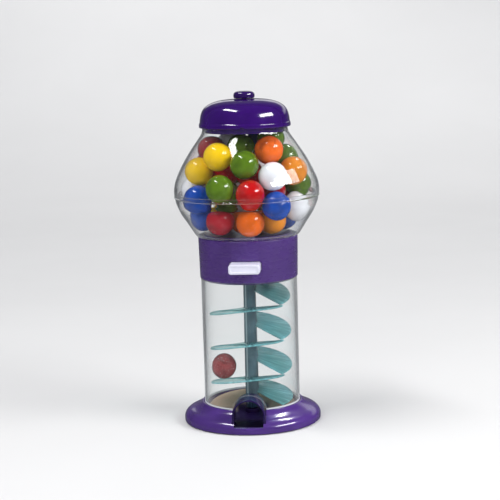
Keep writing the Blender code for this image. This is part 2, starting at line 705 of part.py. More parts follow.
# ---------------------------------------------------------------- gumballs
BALL_R = GUMBALL_D / 2
RAMP_BALL_D = 18.4       # the one on the spiral is a small one
RAMP_BALL_CENTRE = (-20.4, 0.0, 38.8)
WALL_GAP = 0.5           # kept between a gumball and the globe
BALL_GAP = 0.35          # kept between gumballs
SETTLE_ROUNDS = 400
HEAP_FLOOR_Z = 138.9     # just above the rim of the funnel
PLUG_CLEAR_Z = 210.4     # just below the lid's plug
TOP_CLEAR_Z = 216.0      # highest top of a gumball
FILL_CENTRE = Vector((0, 12, 172))

# colour, bearing, height, how far in from touching the wall
GLOBE_BALLS = (
    ("dark_red", 178, 198, 0), ("yellow", -133, 194, 0), ("yellow", -162, 183.5, 0),
    ("green", -177, 200, 20), ("green", -88, 189.5, 0), ("orange_red", -45, 198.5, 0),
    ("green", 12, 204, 0), ("orange", -13, 182.5, 0), ("green", 14, 173.5, 0),
    ("white", -55, 180.5, 0), ("green", -115, 173, 0), ("red", -82.5, 169.5, 0),
    ("blue", -151, 165, 0), ("blue", -52.5, 160, 0), ("white", -4.5, 158, 0),
    ("crimson", -123.5, 150, 0), ("orange", -82.5, 148.7, 0), ("orange", -36, 148.7, 6.5),
    ("white", 177, 169.5, 0), ("white", 124, 206.5, 0), ("blue", -172.5, 151.5, 0),
    ("green", 20, 191, 0), ("yellow", 74, 168, 0),
)
# (z, inner radius of the globe), for keeping gumballs off the wall
GLOBE_INNER = (
    (138.0, 36.3), (147.0, 41.9), (153.7, 46.3), (159.4, 48.9), (164.5, 48.9),
    (176.3, 48.9), (182.8, 46.9), (188.9, 43.7), (200.8, 36.2), (209.3, 30.3),
)


def gumball(name, centre, diameter, mat, subdivisions=2):
    mesh = bmesh.new()
    bmesh.ops.create_icosphere(mesh, subdivisions=subdivisions, radius=diameter / 2)
    bmesh.ops.translate(mesh, verts=mesh.verts, vec=centre)
    return place(name, mesh, mat, centre, 80)


def wall_radius(z):
    """Distance from the axis at which a gumball centred at a height touches the wall."""
    reach = []
    for k in range(-8, 9):
        rise = BALL_R * k / 8 * 0.98
        half_chord = math.sqrt(BALL_R * BALL_R - rise * rise)
        reach.append(interpolate(GLOBE_INNER, z + rise) - half_chord - WALL_GAP)
    return min(reach)


def part_balls(centres):
    """Push each overlapping pair apart, evenly."""
    for i in range(len(centres)):
        for j in range(i + 1, len(centres)):
            between = centres[j] - centres[i]
            short = GUMBALL_D + BALL_GAP - between.length
            if short > 0:
                push = between.normalized() * (short * 0.5)
                centres[i] -= push
                centres[j] += push


def keep_inside(centre):
    """Move a gumball back off the wall, the funnel and the lid."""
    # sample the wall across the ball's height
    for k in range(-4, 5):
        z = centre.z + BALL_R * k / 4 * 0.98
        reach = math.sqrt(max(0.0, BALL_R * BALL_R - (z - centre.z) ** 2))
        distance = math.hypot(centre.x, centre.y)
        over = distance + reach + WALL_GAP - interpolate(GLOBE_INNER, z)
        if over > 0 and distance > 1e-6:
            centre.x -= centre.x / distance * over
            centre.y -= centre.y / distance * over
    centre.z = max(centre.z, HEAP_FLOOR_Z + BALL_R)
    distance = math.hypot(centre.x, centre.y)
    aside = min(BALL_R, max(0.0, LID_PLUG_RI - distance))
    under_plug = PLUG_CLEAR_Z - math.sqrt(BALL_R * BALL_R - aside * aside)
    centre.z = min(centre.z, under_plug, TOP_CLEAR_Z - BALL_R)


def settle(balls):
    """Centres of the gumballs once they clear each other and the globe."""
    centres = [
        Vector((*polar(wall_radius(z) - inset, bearing), z)) for _, bearing, z, inset in balls
    ]
    for _ in range(SETTLE_ROUNDS):
        part_balls(centres)
        for centre in centres:
            keep_inside(centre)
    return centres


def is_free(point, centres):
    """Whether a point of the fill lump clears every gumball and the globe."""
    clear = all((point - centre).length > BALL_R + 3.6 for centre in centres)
    wall = interpolate(GLOBE_INNER, point.z) - 2.0
    return clear and math.hypot(point.x, point.y) < wall and 142.0 < point.z < 200.0


def build_fill(centres):
    """The gumballs in the middle of the heap, as one plain lump."""
    mesh = bmesh.new()
    bmesh.ops.create_icosphere(mesh, subdivisions=3, radius=1.0)
    for vert in mesh.verts:
        direction = vert.co.normalized()
        # draw the lump in along each direction until it is free
        reach = 32.0
        for _ in range(60):
            if is_free(FILL_CENTRE + direction * reach, centres):
                break
            reach -= 0.5
        vert.co = direction * reach
    bmesh.ops.translate(mesh, verts=mesh.verts, vec=FILL_CENTRE)
    place("gumball_fill", mesh, FILL, FILL_CENTRE, 80)


def build_gumballs(slide):
    pocket_centre = (*POCKET, PLATE_Z1 + 0.2 + BALL_R)
    yellow = GUMBALL_MATERIALS["yellow"]
    ride(gumball("gumball_in_shuttle", pocket_centre, GUMBALL_D, yellow), slide)
    crimson = GUMBALL_MATERIALS["crimson"]
    gumball("gumball_on_ramp", RAMP_BALL_CENTRE, RAMP_BALL_D, crimson, subdivisions=3)
    centres = settle(GLOBE_BALLS)
    for i, ((tint, *_), centre) in enumerate(zip(GLOBE_BALLS, centres), 1):
        gumball(f"gumball_{i:02d}_{tint}", centre, GUMBALL_D, GUMBALL_MATERIALS[tint])
    build_fill(centres)


# ---------------------------------------------------------------- assembly
build_lid()
build_globe()
build_funnel()
build_housing()
build_floor()
slide_axis = build_slide_axis()
build_button(slide_axis)
build_shuttle(slide_axis)
build_springs()
build_tube()
build_post()
build_ramp()
build_base_shell()
build_collector()
build_hood()
build_cover()
build_gumballs(slide_axis)
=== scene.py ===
"""Looks of the spiral gumball machine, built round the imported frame.

Shapes are modelled in millimetres and scaled to metres when they are placed.
+Z up, front towards -Y, origin in the middle of the underside.
"""

import json
import math

import bmesh
import bpy
import numpy as np
from mathutils import Matrix, Vector, noise

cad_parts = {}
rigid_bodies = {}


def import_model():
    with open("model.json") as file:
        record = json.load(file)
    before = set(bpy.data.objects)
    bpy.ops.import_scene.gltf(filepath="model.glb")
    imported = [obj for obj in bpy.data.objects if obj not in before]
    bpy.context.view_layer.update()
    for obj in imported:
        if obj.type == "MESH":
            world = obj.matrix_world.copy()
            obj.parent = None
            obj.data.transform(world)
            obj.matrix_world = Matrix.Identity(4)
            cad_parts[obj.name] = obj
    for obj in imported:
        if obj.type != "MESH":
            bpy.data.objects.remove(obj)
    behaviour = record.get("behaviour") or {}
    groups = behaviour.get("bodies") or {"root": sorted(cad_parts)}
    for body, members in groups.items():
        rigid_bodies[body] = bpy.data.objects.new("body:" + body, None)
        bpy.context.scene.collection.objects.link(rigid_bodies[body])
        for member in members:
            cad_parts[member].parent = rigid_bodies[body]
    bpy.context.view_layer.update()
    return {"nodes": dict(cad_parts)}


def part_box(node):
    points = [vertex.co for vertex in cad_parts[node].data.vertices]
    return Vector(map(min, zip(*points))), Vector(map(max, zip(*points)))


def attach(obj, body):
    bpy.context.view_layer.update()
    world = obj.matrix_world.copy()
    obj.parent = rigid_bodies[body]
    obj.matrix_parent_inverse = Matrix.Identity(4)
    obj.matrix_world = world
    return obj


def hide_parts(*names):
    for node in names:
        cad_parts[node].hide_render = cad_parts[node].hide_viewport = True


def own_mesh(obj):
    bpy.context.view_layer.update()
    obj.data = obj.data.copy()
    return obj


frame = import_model()

MM = 0.001
PI = math.pi
SEG = 224                # facets round the large turned pieces

# ---------------------------------------------------------------- dimensions (mm)
GUMBALL_D = 20.4
COLLAR_R, COLLAR_Z = 36.4, 14.6
FLOOR_Z = 3.3
CHUTE_R, CHUTE_WALL, CHUTE_CZ = 10.6, 1.2, 12.9
CHUTE_Y0, CHUTE_Y1 = -46.0, -24.0
BASE_SCREW_R, FOOT_R = 41.0, 40.5
TUBE_RO, TUBE_RI, TUBE_Z0, TUBE_Z1 = 34.9, 33.4, 5.0, 106.0
SLEEVE_RI, SLEEVE_R_TOP, SLEEVE_R_BOT = 2.9, 4.4, 5.0
SLEEVE_Z0, SLEEVE_Z1 = 8.6, 109.6
RAMP_R, RAMP_T, PITCH, RAMP_Z0, LEAF_END = 30.0, 1.2, 25.3, 91.2, -40.0
BAND_Z0, BAND_Z1, BAND_R0, BAND_R1, BAND_RI = 106.3, 136.2, 35.4, 36.0, 33.7
PLATE_Z0, PLATE_Z1 = 112.0, 113.6
POCKET_R, POCKET_X, POCKET_Y, TRAVEL = 10.6, 15.5, -10.0, 12.0
BUTTON_W, BUTTON_Z0, BUTTON_Z1, BUTTON_FRONT = 22.0, 114.9, 121.7, -48.4
FLOOR_SCREWS, FLOOR_SCREW_R = (35.0, 150.0, 215.0), 29.2
SEAM_Z, NECK_R = 164.7, 30.5


# ---------------------------------------------------------------- profiles
def rounded(pts, closed=True, steps=5):
    """Profile points (r, z) or (r, z, f); f rounds that corner."""
    out = []
    count = len(pts)
    for i, p in enumerate(pts):
        f = p[2] if len(p) > 2 else 0
        if not f or (not closed and i in (0, count - 1)):
            out.append((p[0], p[1]))
            continue
        b = Vector(p[:2])
        da = Vector(pts[i - 1][:2]) - b
        dc = Vector(pts[(i + 1) % count][:2]) - b
        s = b + da.normalized() * min(f, 0.48 * da.length)
        e = b + dc.normalized() * min(f, 0.48 * dc.length)
        for k in range(steps + 1):
            t = k / steps
            q = (1 - t) ** 2 * s + 2 * t * (1 - t) * b + t * t * e
            out.append((q.x, q.y))
    return out


def flow(pts, n=5):
    """Points along a smooth curve through pts."""
    p = [Vector(q) for q in pts]
    p = [2 * p[0] - p[1]] + p + [2 * p[-1] - p[-2]]
    out = []
    for i in range(1, len(p) - 2):
        for k in range(n):
            t = k / n
            q = 0.5 * (2 * p[i] + (p[i + 1] - p[i - 1]) * t
                       + (2 * p[i - 1] - 5 * p[i] + 4 * p[i + 1] - p[i + 2]) * t * t
                       + (3 * p[i] - p[i - 1] - 3 * p[i + 1] + p[i + 2]) * t ** 3)
            out.append((q.x, q.y))
    out.append((p[-2].x, p[-2].y))
    return out


# ---------------------------------------------------------------- shapes
def turned(profile, steps=SEG, closed=True, centre=(0, 0), angles=None):
    """Solid of revolution of (r, z) points."""
    bm = bmesh.new()
    if angles is None:
        angles = [2 * PI * i / steps for i in range(steps)]
    n = len(angles)
    rows = []
    for r, z in profile:
        if r < 1e-6:
            rows.append([bm.verts.new((centre[0], centre[1], z))] * n)
        else:
            rows.append([bm.verts.new((centre[0] + r * math.cos(a), centre[1] + r * math.sin(a), z))
                         for a in angles])
    pairs = list(zip(rows[:-1], rows[1:]))
    if closed:
        pairs.append((rows[-1], rows[0]))
    for a, b in pairs:
        for i in range(n):
            j = (i + 1) % n
            quad = []
            for v in (a[i], a[j], b[j], b[i]):
                if v not in quad:
                    quad.append(v)
            if len(quad) > 2:
                bm.faces.new(quad)
    bmesh.ops.recalc_face_normals(bm, faces=bm.faces)
    return bm


def block(lo, hi, bevel=0.0, segments=3):
    bm = bmesh.new()
    bmesh.ops.create_cube(bm, size=1.0)
    bmesh.ops.scale(bm, verts=bm.verts, vec=[h - l for l, h in zip(lo, hi)])
    bmesh.ops.translate(bm, verts=bm.verts, vec=[(h + l) / 2 for l, h in zip(lo, hi)])
    if bevel:
        bmesh.ops.bevel(bm, geom=bm.edges[:], offset=bevel, segments=segments, affect="EDGES", profile=0.5)
    return bm


def rod(r, z0, z1, centre=(0, 0), steps=48):
    return turned([(0, z0), (r, z0), (r, z1), (0, z1)], steps, False, centre)


def outline_along_y(points, y0, y1):
    bm = bmesh.new()
    face = bm.faces.new([bm.verts.new((x, y0, z)) for x, z in points])
    out = bmesh.ops.extrude_face_region(bm, geom=[face])
    moved = [v for v in out["geom"] if isinstance(v, bmesh.types.BMVert)]
    bmesh.ops.translate(bm, verts=moved, vec=(0, y1 - y0, 0))
    bmesh.ops.recalc_face_normals(bm, faces=bm.faces)
    return bm


def arch(r, cz, z0, n=44):
    pts = [(r * math.cos(a), cz + r * math.sin(a)) for a in (PI * i / n for i in range(n + 1))]
    return [(r, z0)] + pts + [(-r, z0)]


def polar(r, deg):
    a = math.radians(deg)
    return r * math.cos(a), r * math.sin(a)


def ring(bm, r, z, centre=(0, 0), n=120):
    return [bm.verts.new((centre[0] + r * math.cos(a), centre[1] + r * math.sin(a), z))
            for a in (2 * PI * i / n for i in range(n))]


def bridge(bm, a, b):
    n = len(a)
    for i in range(n):
        j = (i + 1) % n
        bm.faces.new((a[i], a[j], b[j], b[i]))


def carve(bm, *tools):
    """Apply ("UNION" | "DIFFERENCE", shape) tools in order; returns the new shape."""
    temps = []

    def temp(b):
        me = bpy.data.meshes.new("temp")
        bmesh.ops.recalc_face_normals(b, faces=b.faces)
        b.to_mesh(me)
        b.free()
        ob = bpy.data.objects.new("temp", me)
        bpy.context.scene.collection.objects.link(ob)
        temps.append(ob)
        return ob

    base = temp(bm)
    for op, shape in tools:
        m = base.modifiers.new(op, "BOOLEAN")
        m.operation, m.solver, m.object = op, "EXACT", temp(shape)
    me = bpy.data.meshes.new_from_object(base.evaluated_get(bpy.context.evaluated_depsgraph_get()))
    out = bmesh.new()
    out.from_mesh(me)
    bpy.data.meshes.remove(me)
    for ob in temps:
        bpy.data.objects.remove(ob, do_unlink=True)
    bmesh.ops.remove_doubles(out, verts=out.verts, dist=0.002)
    bmesh.ops.dissolve_degenerate(out, edges=out.edges, dist=0.002)
    return out


def soften(bm, width, segments=3, angle=50.0, where=None):
    """Round the sharp edges of a shape."""
    edges = [e for e in bm.edges if len(e.link_faces) == 2
             and e.calc_face_angle(0) > math.radians(angle) and (where is None or where(e))]
    bmesh.ops.bevel(bm, geom=edges, offset=width, segments=segments, affect="EDGES",
                    profile=0.5, clamp_overlap=True)
    return bm


def piece(name, bm, mat, body, nodes=(), angle=32.0):
    bmesh.ops.recalc_face_normals(bm, faces=bm.faces)
    bmesh.ops.scale(bm, verts=bm.verts, vec=(MM, MM, MM))
    me = bpy.data.meshes.new(name)
    bm.to_mesh(me)
    bm.free()
    ob = bpy.data.objects.new(name, me)
    bpy.context.scene.collection.objects.link(ob)
    me.materials.append(mat)
    me.shade_smooth()
    me.set_sharp_from_angle(angle=math.radians(angle))
    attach(ob, body)
    if nodes:
        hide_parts(*nodes)
    return ob


# ---------------------------------------------------------------- materials
class Mat:
    """A node material, built input by input."""

    def __init__(self, name):
        self.mat = bpy.data.materials.new(name)
        self.mat.use_nodes = True
        self.tree = self.mat.node_tree
        self.tree.nodes.clear()
        self.out = self.node("OutputMaterial")
        self.coords = self.node("TexCoord").outputs["Object"]

    def node(self, kind, ins=None, **props):
        n = self.tree.nodes.new("ShaderNode" + kind)
        for k, v in props.items():
            setattr(n, k, v)
        for k, v in (ins or {}).items():
            if isinstance(v, bpy.types.NodeSocket):
                self.tree.links.new(v, n.inputs[k])
            else:
                n.inputs[k].default_value = v
        return n

    def surface(self, socket):
        self.tree.links.new(socket, self.out.inputs["Surface"])
        return self.mat

    def grain(self, scale, detail=3.0, rough=0.55, vector=None, distortion=0.0):
        return self.node("TexNoise", {"Vector": vector or self.coords, "Scale": scale, "Detail": detail,
                                      "Roughness": rough, "Distortion": distortion}).outputs["Fac"]

    def stretched(self, sx, sy, sz):
        return self.node("Mapping", {"Vector": self.coords, "Scale": (sx, sy, sz)}).outputs["Vector"]

    def ramp(self, fac, stops):
        n = self.node("ValToRGB", {"Fac": fac})
        el = n.color_ramp.elements
        while len(el) < len(stops):
            el.new(0.5)
        for e, (pos, col) in zip(el, stops):
            e.position = pos
            e.color = (*col, 1.0) if len(col) == 3 else col
        return n.outputs["Color"]

    def span(self, fac, lo, hi, from_lo=0.3, from_hi=0.7):
        return self.node("MapRange", {"Value": fac, "From Min": from_lo, "From Max": from_hi,
                                      "To Min": lo, "To Max": hi}).outputs["Result"]

    def mix(self, fac, a, b):
        n = self.node("Mix", data_type="RGBA")
        for key, v in ((0, fac), (6, a), (7, b)):
            if isinstance(v, bpy.types.NodeSocket):
                self.tree.links.new(v, n.inputs[key])
            else:
                n.inputs[key].default_value = v if key == 0 else (*v, 1.0)
        return n.outputs[2]

    def math(self, op, a, b=0.5):
        n = self.node("Math", operation=op)
        for key, v in ((0, a), (1, b)):
            if isinstance(v, bpy.types.NodeSocket):
                self.tree.links.new(v, n.inputs[key])
            else:
                n.inputs[key].default_value = v
        return n.outputs[0]

    def bump(self, height, distance, strength=1.0, normal=None):
        ins = {"Height": height, "Distance": distance, "Strength": strength}
        if normal is not None:
            ins["Normal"] = normal
        return self.node("Bump", ins).outputs["Normal"]

    def principled(self, **ins):
        return self.node("BsdfPrincipled", {k.replace("_", " "): v for k, v in ins.items()}).outputs["BSDF"]


def shade(rgb, k):
    return tuple(min(1.0, c * k) for c in rgb)


def gloss_plastic(name, rgb, rough=0.16, coat=0.5, streaks=False, edge=1.6, cloud=0.22, front=None,
                  spec=0.5):
    """Moulded glossy plastic: faint flow clouds, orange peel, scuffed gloss, paler sharp edges."""
    m = Mat(name)
    clouds = m.grain(38.0, 4.0, 0.6, distortion=0.6)
    col = m.ramp(clouds, [(0.25, shade(rgb, 1 - cloud)), (0.55, rgb), (0.8, shade(rgb, 1 + cloud))])
    point = m.node("NewGeometry").outputs["Pointiness"]
    # sharp convex edges are made paler in colour
    pale_edge = m.span(point, 0.0, 1.0, 0.52, 0.60)
    col = m.mix(m.math("MULTIPLY", pale_edge, 0.55), col, tuple(min(1.0, c * edge + 0.02) for c in rgb))
    if front:
        # painted shade: dark purple laid on the floor round the mouth of the chute and along its lane, where the hood
        # shades it
        near = m.node("VectorMath", {0: m.coords, 1: (0, -0.034, 0.006)}, operation="DISTANCE").outputs["Value"]
        sep = m.node("SeparateXYZ", {"Vector": m.coords})
        lane = m.math("MULTIPLY", m.span(m.math("ABSOLUTE", sep.outputs[0]), 1.0, 0.0, 0.0102, 0.0140),
                      m.span(sep.outputs[1], 1.0, 0.0, 0.006, 0.014))
        col = m.mix(m.math("MAXIMUM", m.span(near, 1.0, 0.0, 0.030, 0.042), lane), col, front)
    fine = m.grain(1500.0, 2.0)
    peel = m.grain(260.0, 2.0)
    height = m.math("ADD", m.math("MULTIPLY", peel, 0.8), m.math("MULTIPLY", fine, 0.2))
    if streaks:
        lines = m.grain(60.0, 3.0, 0.7, m.stretched(0.35, 0.35, 26.0))
        height = m.math("ADD", height, m.math("MULTIPLY", lines, 0.3))
        col = m.mix(m.span(lines, 0.0, 0.35), col, shade(rgb, 1.45))
    scuff = m.grain(90.0, 5.0, 0.7, m.stretched(1.0, 1.0, 3.0))
    rgh = m.span(scuff, rough * 0.75, rough * 1.7)
    bsdf = m.principled(Base_Color=col, Roughness=rgh, Coat_Weight=coat, Coat_Roughness=0.07, IOR=1.5,
                        Specular_IOR_Level=spec, Normal=m.bump(height, 0.00004, 0.55))
    return m.surface(bsdf)


def clear_plastic(name, tint=(0.97, 0.985, 0.985), haze=0.05, rough=0.02, foot=None):
    """Clear wall: refracts to the eye, lets the light through to what stands behind it."""
    m = Mat(name)
    wave = m.grain(22.0, 2.0)
    normal = m.bump(wave, 0.0004, 0.35)
    smear = m.grain(30.0, 4.0, 0.65, m.stretched(2.2, 2.2, 0.55), distortion=1.2)
    rgh = m.span(smear, rough, rough * 3.2, 0.35, 0.75)
    glass = m.principled(Base_Color=(*tint, 1.0), Roughness=rgh, IOR=1.46, Transmission_Weight=1.0,
                         Normal=normal)
    veil = m.node("BsdfDiffuse", {"Color": (0.92, 0.94, 0.96, 1.0), "Roughness": 1.0}).outputs["BSDF"]
    facing = m.node("LayerWeight", {"Blend": 0.35}).outputs["Facing"]
    amount = m.math("MULTIPLY", m.span(smear, 0.35, 1.0, 0.4, 0.72),
                    m.math("ADD", m.math("MULTIPLY", m.math("POWER", facing, 2.6), haze * 8.0), haze * 0.03))
    amount = m.math("MINIMUM", amount, 0.8)
    if foot:
        # light gathers in a thin line where the wall stands in its collar
        height = m.node("SeparateXYZ", {"Vector": m.coords}).outputs[2]
        line = m.math("MULTIPLY", m.span(height, 0.52, 0.0, foot + 0.0004, foot + 0.0009),
                      m.span(height, 0.0, 1.0, foot - 0.0008, foot - 0.0003))
        amount = m.math("MAXIMUM", amount, line)
    seen = m.node("MixShader", {0: amount, 1: glass, 2: veil}).outputs[0]
    path = m.node("LightPath")
    bounced = m.math("MULTIPLY", m.math("MAXIMUM", path.outputs["Is Diffuse Ray"], path.outputs["Is Glossy Ray"]),
                     m.math("SUBTRACT", 1.0, path.outputs["Is Transmission Ray"]))
    passing = m.math("MAXIMUM", path.outputs["Is Shadow Ray"], bounced)
    through = m.node("BsdfTransparent", {"Color": (0.95, 0.96, 0.96, 1.0)}).outputs["BSDF"]
    both = m.node("MixShader", {0: passing, 1: seen, 2: through}).outputs[0]
    return m.surface(both)


def teal_plastic(name, rgb=(0.215, 0.53, 0.58), clearness=0.20):
    """Translucent tinted sheet with streaks that fan out from the post, and a smoky sleeve, with painted shade and a
    painted highlight line in its colour.
    """
    m = Mat(name)
    sep = m.node("SeparateXYZ", {"Vector": m.coords})
    x, y, z = sep.outputs[0], sep.outputs[1], sep.outputs[2]
    angle = m.math("ARCTAN2", y, x)
    radius = m.node("VectorMath", {0: m.node("CombineXYZ", {0: x, 1: y}).outputs[0]},
                    operation="LENGTH").outputs["Value"]
    fan = m.node("CombineXYZ", {0: m.math("MULTIPLY", angle, 5.0), 1: m.math("MULTIPLY", radius, 12.0),
                                2: m.math("MULTIPLY", z, 8.0)}).outputs[0]
    streak = m.grain(3.2, 5.0, 0.7, fan, distortion=0.3)
    broad = m.grain(26.0, 2.0)
    col = m.ramp(streak, [(0.30, shade(rgb, 0.52)), (0.5, rgb), (0.70, shade(rgb, 1.65))])
    col = m.mix(m.math("MULTIPLY", m.span(broad, 0.0, 1.0, 0.4, 0.7), 0.4), col, (0.08, 0.25, 0.11))
    # darker towards the post, and painted shade under the band where its shadow falls on the top leaf
    inward_dark_and_band_shade = m.math("MAXIMUM", m.span(radius, 0.50, 0.0, 0.006, 0.021), m.span(z, 0.0, 0.36, 0.083, 0.090))
    col = m.mix(inward_dark_and_band_shade, col, (0.055, 0.175, 0.195))
    sleeve = m.span(radius, 1.0, 0.0, 0.0051, 0.0056)
    col = m.mix(sleeve, col, m.ramp(m.grain(70.0, 4.0), [(0.3, (0.078, 0.128, 0.158)), (0.7, (0.155, 0.245, 0.292))]))
    # painted shade: the foot of the sleeve darkened where the chute hood shades it
    foot = m.math("MULTIPLY", sleeve, m.span(z, 1.0, 0.0, 0.011, 0.017))
    col = m.mix(foot, col, (0.020, 0.040, 0.075))
    # painted highlight: a pale line down the sleeve where a lamp is reflected
    line = m.math("MULTIPLY", m.math("SUBTRACT", sleeve, foot), m.span(m.math("ABSOLUTE", m.math("ADD", angle, math.radians(127))), 1.0, 0.0,
                                             math.radians(4), math.radians(11)))
    col = m.mix(m.math("MULTIPLY", line, 0.75), col, (0.62, 0.72, 0.74))
    normal = m.bump(streak, 0.00025, 0.6)
    body = m.principled(Base_Color=col, Roughness=m.span(streak, 0.16, 0.34), IOR=1.5,
                        Coat_Weight=0.35, Coat_Roughness=0.08, Normal=normal)
    glow = m.node("BsdfTranslucent", {"Color": m.mix(0.5, col, (0.34, 0.66, 0.70)), "Normal": normal}).outputs["BSDF"]
    solid = m.node("MixShader", {0: m.math("MULTIPLY", m.math("SUBTRACT", 1.0, sleeve), 0.34), 1: body,
                                 2: glow}).outputs[0]
    clear = m.node("BsdfTransparent", {"Color": (0.80, 0.93, 0.92, 1.0)}).outputs["BSDF"]
    facing = m.node("LayerWeight", {"Blend": 0.3}).outputs["Facing"]
    # the sheet is thin and clear on the left and gets thick and cloudy towards the end of a leaf; its rim reads darker
    thin = m.math("MULTIPLY", m.span(x, 1.0, 0.0, -0.004, 0.012), m.math("SUBTRACT", 1.0, sleeve))
    thick = m.math("MULTIPLY", m.math("SUBTRACT", 1.0, m.math("MULTIPLY", facing, 0.85)), clearness)
    amount = m.math("ADD", m.math("MULTIPLY", thin, 0.78), m.math("MULTIPLY", m.math("SUBTRACT", 1.0, thin), thick))
    amount = m.math("MULTIPLY", amount, m.span(radius, 1.0, 0.35, 0.0292, 0.0298))
    return m.surface(m.node("MixShader", {0: amount, 1: solid, 2: clear}).outputs[0])


def candy(name, rgb, mottle=0.35, speck=(1.0, 1.0, 1.0), speck_amount=0.10, rough=0.14):
    """Polished sugar shell: blotchy colour, faint pits and pale specks under a gloss."""
    m = Mat(name)
    blotch = m.grain(95.0, 4.0, 0.62, distortion=0.8)
    col = m.ramp(blotch, [(0.3, shade(rgb, 1 - mottle)), (0.52, rgb), (0.75, shade(rgb, 1 + mottle * 0.7))])
    dots = m.node("TexVoronoi", {"Vector": m.coords, "Scale": 620.0, "Randomness": 1.0},
                  feature="F1").outputs["Distance"]
    dot = m.math("MULTIPLY", m.span(dots, 1.0, 0.0, 0.06, 0.20), speck_amount * 2.0)
    patch = m.span(m.grain(140.0, 2.0), 0.0, 1.0, 0.45, 0.65)
    col = m.mix(m.math("MULTIPLY", dot, patch), col, speck)
    peel = m.grain(420.0, 3.0)
    lumps = m.grain(120.0, 2.0)
    height = m.math("ADD", m.math("MULTIPLY", peel, 0.25), lumps)
    bsdf = m.principled(Base_Color=col, Roughness=m.span(m.grain(210.0, 3.0), rough * 0.7, rough * 1.9),
                        IOR=1.48, Specular_IOR_Level=0.15, Coat_Weight=0.8, Coat_Roughness=0.03,
                        Subsurface_Weight=0.0, Normal=m.bump(height, 0.00016, 0.5))
    return m.surface(bsdf)


def steel(name):
    m = Mat(name)
    lines = m.grain(900.0, 3.0, 0.6, m.stretched(1.0, 1.0, 0.06))
    tarnish = m.grain(160.0, 4.0, 0.6)
    col = m.ramp(tarnish, [(0.3, (0.42, 0.42, 0.44)), (0.7, (0.68, 0.68, 0.69))])
    return m.surface(m.principled(Base_Color=col, Metallic=1.0, Roughness=m.span(lines, 0.2, 0.42),
                                  Normal=m.bump(lines, 0.00002, 0.4)))


def rubber(name):
    m = Mat(name)
    pores = m.grain(1400.0, 3.0)
    col = m.ramp(m.grain(120.0, 3.0), [(0.3, (0.012, 0.012, 0.013)), (0.7, (0.03, 0.03, 0.031))])
    return m.surface(m.principled(Base_Color=col, Roughness=m.span(pores, 0.62, 0.9),
                                  Normal=m.bump(pores, 0.00006, 0.6)))


def satin(name, rgb, rough=0.4):
    """Finely textured satin plastic."""
    m = Mat(name)
    tex = m.grain(1100.0, 2.0)
    col = m.ramp(m.grain(60.0, 3.0), [(0.3, shade(rgb, 0.88)), (0.7, shade(rgb, 1.1))])
    return m.surface(m.principled(Base_Color=col, Roughness=m.span(tex, rough * 0.8, rough * 1.3),
                                  Normal=m.bump(tex, 0.00005, 0.5)))


PURPLE = (0.070, 0.022, 0.235)
M_LID = gloss_plastic("purple_lid", (0.027, 0.002, 0.112), 0.10, 0.7)
M_BAND = gloss_plastic("purple_band", (0.056, 0.024, 0.144), 0.24, 0.25, streaks=True)
M_BASE = gloss_plastic("purple_base", (0.064, 0.026, 0.178), 0.16, 0.5)
M_INNER = gloss_plastic("purple_inner", (0.045, 0.016, 0.135), 0.3, 0.2)
M_KNOB = gloss_plastic("dark_purple_knob", (0.022, 0.004, 0.085), 0.1, 0.8)
M_HOOD = gloss_plastic("dark_purple_hood", (0.014, 0.006, 0.052), 0.16, 0.3, spec=0.3)
# front= is painted shade: dark purple on the floor under and round the chute hood
M_FLOOR = gloss_plastic("smoke_floor", (0.40, 0.28, 0.20), 0.5, 0.0, front=(0.016, 0.006, 0.045), spec=0.12)
M_ROD = gloss_plastic("blue_grey_rod", (0.055, 0.095, 0.115), 0.3, 0.3)
M_WHITE = gloss_plastic("white_button", (0.61, 0.61, 0.71), 0.28, 0.25, edge=1.15, cloud=0.05)
M_GLOBE = clear_plastic("clear_globe", haze=0.055)
M_TUBE = clear_plastic("clear_tube", haze=0.10, foot=0.0146)
M_TEAL = teal_plastic("teal_spiral")
M_STEEL = steel("zinc_steel")
M_RUBBER = rubber("black_rubber")
M_SHUTTLE = satin("grey_shuttle", (0.36, 0.35, 0.41))

CANDY = {
    "dark_red": ((0.27, 0.004, 0.006), 0.35, 0.06), "red": ((0.47, 0.001, 0.002), 0.28, 0.08),
    "crimson": ((0.33, 0.001, 0.010), 0.42, 0.34), "yellow": ((0.88, 0.54, 0.001), 0.14, 0.06),
    "green": ((0.088, 0.170, 0.005), 0.42, 0.13), "orange": ((0.70, 0.112, 0.002), 0.38, 0.22),
    "orange_red": ((0.82, 0.132, 0.012), 0.50, 0.20), "white": ((0.80, 0.79, 0.83), 0.06, 0.0),
    "blue": ((0.001, 0.056, 0.37), 0.5, 0.12), "maroon": ((0.36, 0.070, 0.072), 0.55, 0.45),
    "amber": ((0.74, 0.230, 0.002), 0.25, 0.10),
}
CANDY_MAT = {k: candy("candy_" + k, v[0], v[1], speck_amount=v[2]) for k, v in CANDY.items()}

# ---------------------------------------------------------------- lid
notch = [math.radians(-90 + d * 0.35) for d in range(-14, 15)]
coarse = [2 * PI * i / SEG for i in range(SEG)]
spread = [a for a in coarse if min(abs((a + PI / 2 + PI) % (2 * PI) - PI), 9) > math.radians(5.4)]
angles = sorted(spread + [a % (2 * PI) for a in notch])
lid_profile = rounded(
    flow([(1.8, 234.6), (6.5, 234.55), (12.5, 234.2), (18.0, 233.5), (23.6, 231.9), (27.6, 229.7),
          (30.0, 227.1), (31.4, 223.9), (32.1, 220.5), (32.35, 218.0)], 5)
    + [(32.75, 217.5, 0.3), (33.0, 216.2, 0.8), (32.8, 214.6, 0.4), (31.2, 214.6, 0.4), (31.0, 221.2, 0.3),
       (28.8, 221.2, 0.3), (28.8, 210.8, 0.45), (27.6, 210.8, 0.45)]
    + flow([(27.6, 223.6), (25.8, 227.6), (20.6, 230.8), (11.8, 232.5), (1.8, 232.9)], 4))
bm = turned(lid_profile, angles=angles)
